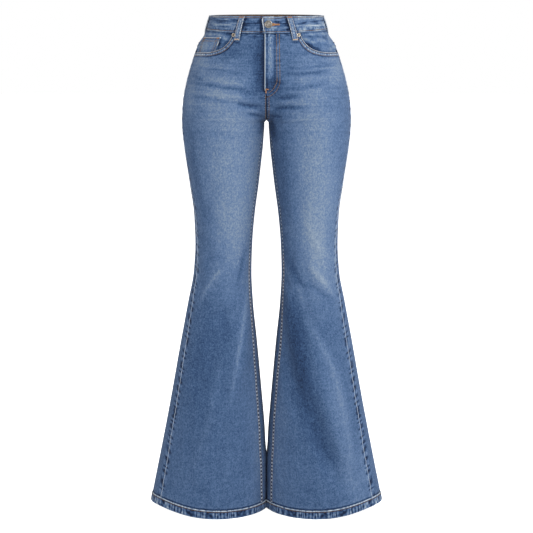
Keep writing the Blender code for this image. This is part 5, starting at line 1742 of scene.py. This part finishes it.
# waistband: a row near each edge, bright underneath at the back, and one down the buttoned end
for t in (0.075, 0.925):
    for number, (side, part, share) in enumerate(bandStretches()[:5]):
        face = faces[side, part]
        onTop, low, high = bandEdges(number, face, share)
        z = low + (high - low) * t
        relief = bandRelief(bandAround(number, face, share), np.full(1, t))[0] + band["bulge"] * sin(pi * t)
        lift = cut["bandProud"] + band["overLift"] * onTop + relief + 0.0002
        keep = {0: slice(4, None), 4: slice(None, -4)}.get(number, slice(None))
        sew("Tan", [values[keep] for values in seamRow(face, share, z, lift)])
        if t > 0.5 and part == "back":
            points, normals = seamRow(face, share, z - 0.0004, cut["bandProud"] - cut["bandThick"] - 0.0002)
            sew("Bright", (points, -normals), radius=0.0007)
t = np.linspace(0.08, 0.9, 40)
sew("Tan", onBand(band["overEnd"] * (1 - band["endSlant"] * (1 - t)) + 0.0024, t, 0.0003))

# coin pocket: two rows under its mouth, two down each side and a bar at each end of the mouth
for down in (0.05, 0.19):
    sew("Tan", coinRow(down, np.linspace(0.03, 0.97, 60)))
for across in (0.04, 0.15, 0.85, 0.96):
    sew("Tan", coinRow(np.linspace(0.04, 0.8, 60), across))
for across in (0.10, 0.90):
    sewBar("Bright", coinRow(0.055, across + np.linspace(-0.055, 0.055, 14), 0.0003), 0.0026)

# belt loops: a row by each edge, and a bar of close stitches at both ends
down, across = np.linspace(0.08, 0.9, 60), np.linspace(-0.44, 0.44, 30)
for row in loopRows:
    for place in (-0.36, 0.36):
        sew("Grey", onLoop(row, down, place + 0 * down, loop["thick"]), pitch=0.003, fill=1.5)
    for place, kind in ((0.03, "Bright"), (0.955, "Cream")):
        sewBar(kind, onLoop(row, place + 0 * across, across, loop["thick"] + 0.0003), 0.0024)

# hems: one row all round each
for side in sides:
    for face, share in hemPlaces(side):
        path = seamRow(face, share, hemZ(face, share) + hem["row"], hem["proud"] + 0.0002)
        sew("Brown", path, pitch=0.0036, radius=0.00085)

# the buttonhole: a keyhole of satin stitches round a slit
hole = {"from": 0.0108, "to": 0.0250, "t": 0.50, "wide": 0.0040, "narrow": 0.0013, "pitch": 0.00055}
x = np.linspace(hole["from"], hole["to"], 50)
spread = hole["wide"] + (hole["narrow"] - hole["wide"]) * ease((x - hole["from"]) / 0.009)
for way in (-1, 1):
    edge = onBand(x, hole["t"] + way * spread * 0.55 / 0.033, 0.0004)
    sewBar("Bright", edge, 0.0019, pitch=hole["pitch"])
sewBar("Bright", onBand(x, hole["t"], 0.0002), 0.0024, pitch=hole["pitch"])
filling = threadRows["Bright"][-1]["length"]
filling[:] = np.interp(
    np.arange(len(filling)), (0, 16, 60), (hole["wide"] * 1.1, hole["narrow"] * 1.5, hole["narrow"]))
barPlaces = np.linspace(hole["t"] - 0.05, hole["t"] + 0.05, 8)
sewBar("Bright", onBand(hole["to"] + 0.0004, barPlaces, 0.0005), 0.0018, pitch=hole["pitch"])

threadNames = {"Dusk": "Thighs", "Bright": "Bars", "Cream": "LoopEnds", "Brown": "Hems"}
threadPieces = [
    threadPiece("stitching" + threadNames.get(kind, kind), rows, threads[kind]) for kind, rows in threadRows.items()]
print("sewing made:", sum(len(piece.data.polygons) for piece in threadPieces), "faces")

metal = {"segments": 72, "rough": 0.62, "smoother": 0.28, "spotScale": 900, "spotDepth": 0.0001}
button = {"x": 0.0040, "radius": 0.0079, "height": 0.0026, "beads": 28, "beadHeight": 0.00018}
rivet = {"left": 0.0657, "right": 0.0675, "z": -0.0408, "radius": 0.0040, "height": 0.0016}
# rings from the middle outwards and back underneath: radius and height as shares of the whole, and polish
buttonRings = [
    (0.02, 0.86, 0.7), (0.16, 0.86, 0.7), (0.22, 0.80, 0.25), (0.30, 0.78, 0.3), (0.34, 0.84, 0.75), (0.42, 0.84, 0.75),
    (0.47, 0.78, 0.25), (0.56, 0.78, 0.35), (0.64, 0.80, 0.5), (0.72, 0.79, 0.35), (0.78, 0.77, 0.2), (0.83, 0.88, 0.8),
    *((0.86 + 0.14 * sin(a), 0.55 + 0.42 * cos(a), 0.85) for a in np.linspace(0, pi, 9)),
    (0.86, 0.05, 0.1), (0.3, 0.0, 0.1), (0.02, 0.0, 0.1),
]
rivetRings = [
    (0.02, 0.66, 0.45), (0.18, 0.64, 0.35), (0.30, 0.54, 0.1), (0.38, 0.44, 0.0), (0.50, 0.50, 0.3), (0.62, 0.74, 0.8),
    (0.76, 0.82, 0.95), (0.90, 0.66, 0.8), (0.99, 0.34, 0.5), (0.96, 0.02, 0.1), (0.3, 0.0, 0.1), (0.02, 0.0, 0.1),
]


def makeMetal(name, pale, deep):
    # raised parts are rubbed bright, low ones keep a dark patina
    material, tree, shader = newMaterial(name, Metallic=1.0)
    spots = noise(addNode(tree, "TexCoord", output="Object"), metal["spotScale"], 4, 0.5)
    shade = attribute(tree, "polish", "Fac") + (spots - 0.5) * 0.5
    connect(colourRamp(shade, ((0.1, deep), (0.9, pale))), shader["Base Color"])
    connect(metal["rough"] - shade * metal["smoother"], shader["Roughness"])
    roughen(shader, spots * metal["spotDepth"], 0.5)
    return material


def turned(name, rings, size, place, normal, material, node, beads=0.0):
    # the rings swept round the normal, with a circle of beads raised on them
    angle = np.linspace(0, 2 * pi, metal["segments"], endpoint=False)
    share, height, polish = np.array(rings).T
    raised = beads * np.cos(button["beads"] * angle) * bell(share[:, None] - 0.66, 0.05)
    radius, height = share[:, None] * size["radius"] + 0 * angle, height[:, None] * size["height"] + raised
    turn = np.array(Vector(normal).normalized().to_track_quat("Z", "Y").to_matrix())
    points = np.stack([radius * np.cos(angle), radius * np.sin(angle), height], axis=-1) @ turn.T + place
    index = numbered(points)
    blocks = [quads(numbered(points, closed=True)), index[0][None], index[-1, ::-1][None]]
    mesh = meshFrom(name, points.reshape(-1, 3), blocks)
    storeOn(mesh, polish=np.repeat(polish, metal["segments"]))
    return dress(newObject(name, mesh, material), node, slot="aged_metal")


agedMetal = makeMetal("agedMetal", (0.40, 0.37, 0.33), (0.06, 0.052, 0.045))
rivetMetal = makeMetal("rivetMetal", (0.58, 0.50, 0.41), (0.07, 0.055, 0.042))

buttonZ = sizeAt("front", 0.0) * cut["waistSlope"] - (cut["bandHeight"] + cut["bandDip"]) * 0.48
buttonAt = (leftFront, shareAtX(leftFront, button["x"], buttonZ), buttonZ)
buttonPlace = pointAt(*buttonAt, cut["bandProud"] + band["overLift"] + cut["gap"])
turned("bandButton", buttonRings, button, buttonPlace, normalAt(*buttonAt), agedMetal, "button", button["beadHeight"])
for side in sides:
    face = faces[side, "front"]
    rivetAt = (face, shareAtX(face, rivet[side], rivet["z"]), rivet["z"])
    place, normal = pointAt(*rivetAt, cut["gap"]), normalAt(*rivetAt)
    turned("rivet" + side.title(), rivetRings, rivet, place, normal, rivetMetal, "rivet_" + side)
print("metal made")

# cloth sizes as cut: the flat size of what shows of every piece of cloth, worked out from the sizes above


def panelCut(face, top, meanTop):
    # a leg panel: its widest width, its length, and the area below the mean height of its top edge
    bottom = cut["hem"] + 0.014
    z = np.linspace(meanTop, bottom, 400)
    width = widthAt(face, z)
    return {"flat": (float(width.max()), float(top) - bottom), "area": float(abs(np.trapz(width, z)))}


def stripCut(face, share, top, bottom):
    # a piece that lies across a panel between two lines
    width, height = widthAt(face, (top + bottom) / 2), top - bottom
    flat = (float(np.trapz(width, share)), float(height.max()))
    return {"flat": flat, "area": float(np.trapz(width * height, share))}


across = np.linspace(0, 1, 200)
for side in sides:
    frontFace, backFace = faces[side, "front"], faces[side, "back"]
    frontCut = panelCut(frontFace, bandZ(frontFace, 1.0), -0.05)
    backCut = panelCut(backFace, yokeZ(backFace, 0.0), -0.08)
    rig.sheet(panels["front", side], held="hung", rests_on=["waistband"], **frontCut)
    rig.sheet(panels["back", side], held="hung", rests_on=["yoke_" + side], **backCut)
    yokeCut = stripCut(backFace, across, bandZ(backFace, across), yokeZ(backFace, across))
    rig.sheet(panels["yoke", side], held="hung", rests_on=["waistband"], **yokeCut)
    reach = across * shareAtX(frontFace, cut["scoopTopX"] - facing["inset"], cut["scoopLevel"])
    facingTop = bandZ(frontFace, reach)
    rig.sheet(facings[side], held="hung", rests_on=["waistband", "front_" + side],
             **stripCut(frontFace, reach, facingTop, facingEdges(frontFace, reach, facingTop)))
    meanWidth = (pocket["topWidth"] + pocket["lowWidth"]) / 2
    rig.sheet(backPockets[side], flat=(pocket["topWidth"], pocket["side"] + pocket["point"]), held="laid",
             rests_on=["back_" + side], area=meanWidth * pocket["side"] + pocket["lowWidth"] * pocket["point"] / 2)
    hemRound = float(widthAt(frontFace, cut["hem"]) + widthAt(backFace, cut["hem"]))
    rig.sheet(hems[side], flat=(hemRound, cut["hemDepth"]), held="folded", rests_on=["front_" + side, "back_" + side])

coinFace = faces["right", "front"]
reach = np.linspace(*coin["topEdges"], 100) / widthAt(coinFace, coin["topZ"])
coinTop = coin["topZ"] + 0 * reach
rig.sheet(coinPocket, held="laid", rests_on=["pocket_facing_right"],
         **stripCut(coinFace, reach, coinTop, scoopZ(coinFace, reach) - coin["under"]))

bandRound = 2 * sum(float(widthAt(faces["left", part], cut["bandLevel"])) for part in ("front", "back"))
bandLap = band["underEnd"] - band["overEnd"]
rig.sheet(waistband, flat=(bandRound + bandLap, cut["bandHeight"] + cut["bandDip"] / 2), held="stretched",
         rests_on=["front_left", "front_right", "yoke_left", "yoke_right"])
for row, piece in beltLoops:
    _, top, low = loopEnds(row)
    length = float(top - low) + row["below"] + loop["stand"]
    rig.sheet(piece, flat=(loop["width"], length), held="stretched", rests_on=["waistband"])

studio = {"floor": -1.0635, "reach": 30, "pale": (0.86, 0.86, 0.86), "world": 0.42}
# name, place, target height, size, power
lamps = (
    ("key", (1.35, -2.5, 1.5), -0.45, 1.5, 60), ("fill", (-1.6, -2.9, 0.2), -0.55, 1.6, 21),
    ("sideLeft", (3.2, -0.6, 0.4), -0.45, 1.6, 40), ("sideRight", (-3.2, -0.8, 0.2), -0.5, 1.6, 10),
    ("rear", (0.6, 2.8, 1.2), -0.5, 2.2, 30),
)


def makeFloor():
    corners = np.array([(-1, -1, 0), (1, -1, 0), (1, 1, 0), (-1, 1, 0)], float) * studio["reach"]
    mesh = meshFrom("floor", corners + (0, 0, studio["floor"]), [np.array([[0, 1, 2, 3]])])
    white, pale = (1, 1, 1, 1), (*studio["pale"], 1)
    material, tree, shader = newMaterial("floorPale", Base_Color=pale, Roughness=0.9, Emission_Color=white)
    connect(addNode(tree, "LightPath"), shader["Emission Strength"])
    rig.stage(newObject("floor", mesh, material))


def hold(name, data, place, target):
    # a light or camera at a place, turned towards its target
    holder = bpy.data.objects.new(name, data)
    bpy.context.scene.collection.objects.link(holder)
    holder.location = place
    holder.rotation_euler = (Vector(target) - holder.location).to_track_quat("-Z", "Y").to_euler()
    return holder


def makeStudio():
    makeFloor()
    for name, place, targetZ, size, power in lamps:
        lamp = bpy.data.lights.new(name, "AREA")
        lamp.energy, lamp.size = power, size
        hold(name, lamp, place, (0, 0, targetZ))
    world = bpy.data.worlds.new("paleRoom")
    bpy.context.scene.world = world
    world.use_nodes = True
    # the room is soft light for the cloth and plain white behind it
    tree = world.node_tree
    room = tree.nodes["Background"]
    room.inputs["Color"].default_value = (1, 1, 1, 1)
    room.inputs["Strength"].default_value = studio["world"]
    backdrop = addNode(tree, "Background", {"Color": (1, 1, 1, 1), "Strength": 1.0})
    mixed = addNode(tree, "MixShader", {0: addNode(tree, "LightPath"), 1: Wire(room.outputs[0]), 2: backdrop})
    connect(mixed, tree.nodes["World Output"].inputs["Surface"])
    settings = bpy.context.scene.view_settings
    settings.view_transform, settings.look = "Standard", "None"


def makeCamera():
    lens = bpy.data.cameras.new("camera")
    lens.lens, lens.sensor_width, lens.clip_end = 108.3, 36, 100
    bpy.context.scene.camera = hold("camera", lens, (0, -3.4, -0.0636), (0, 0, -0.5306))


makeStudio()
makeCamera()
print("studio ready")

sizes = {"cad": cadBox, "visual": [list(corner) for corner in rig.bounds()]}
with open("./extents.json", "w") as file:
    json.dump({key: [[float(v) for v in corner] for corner in box] for key, box in sizes.items()}, file)
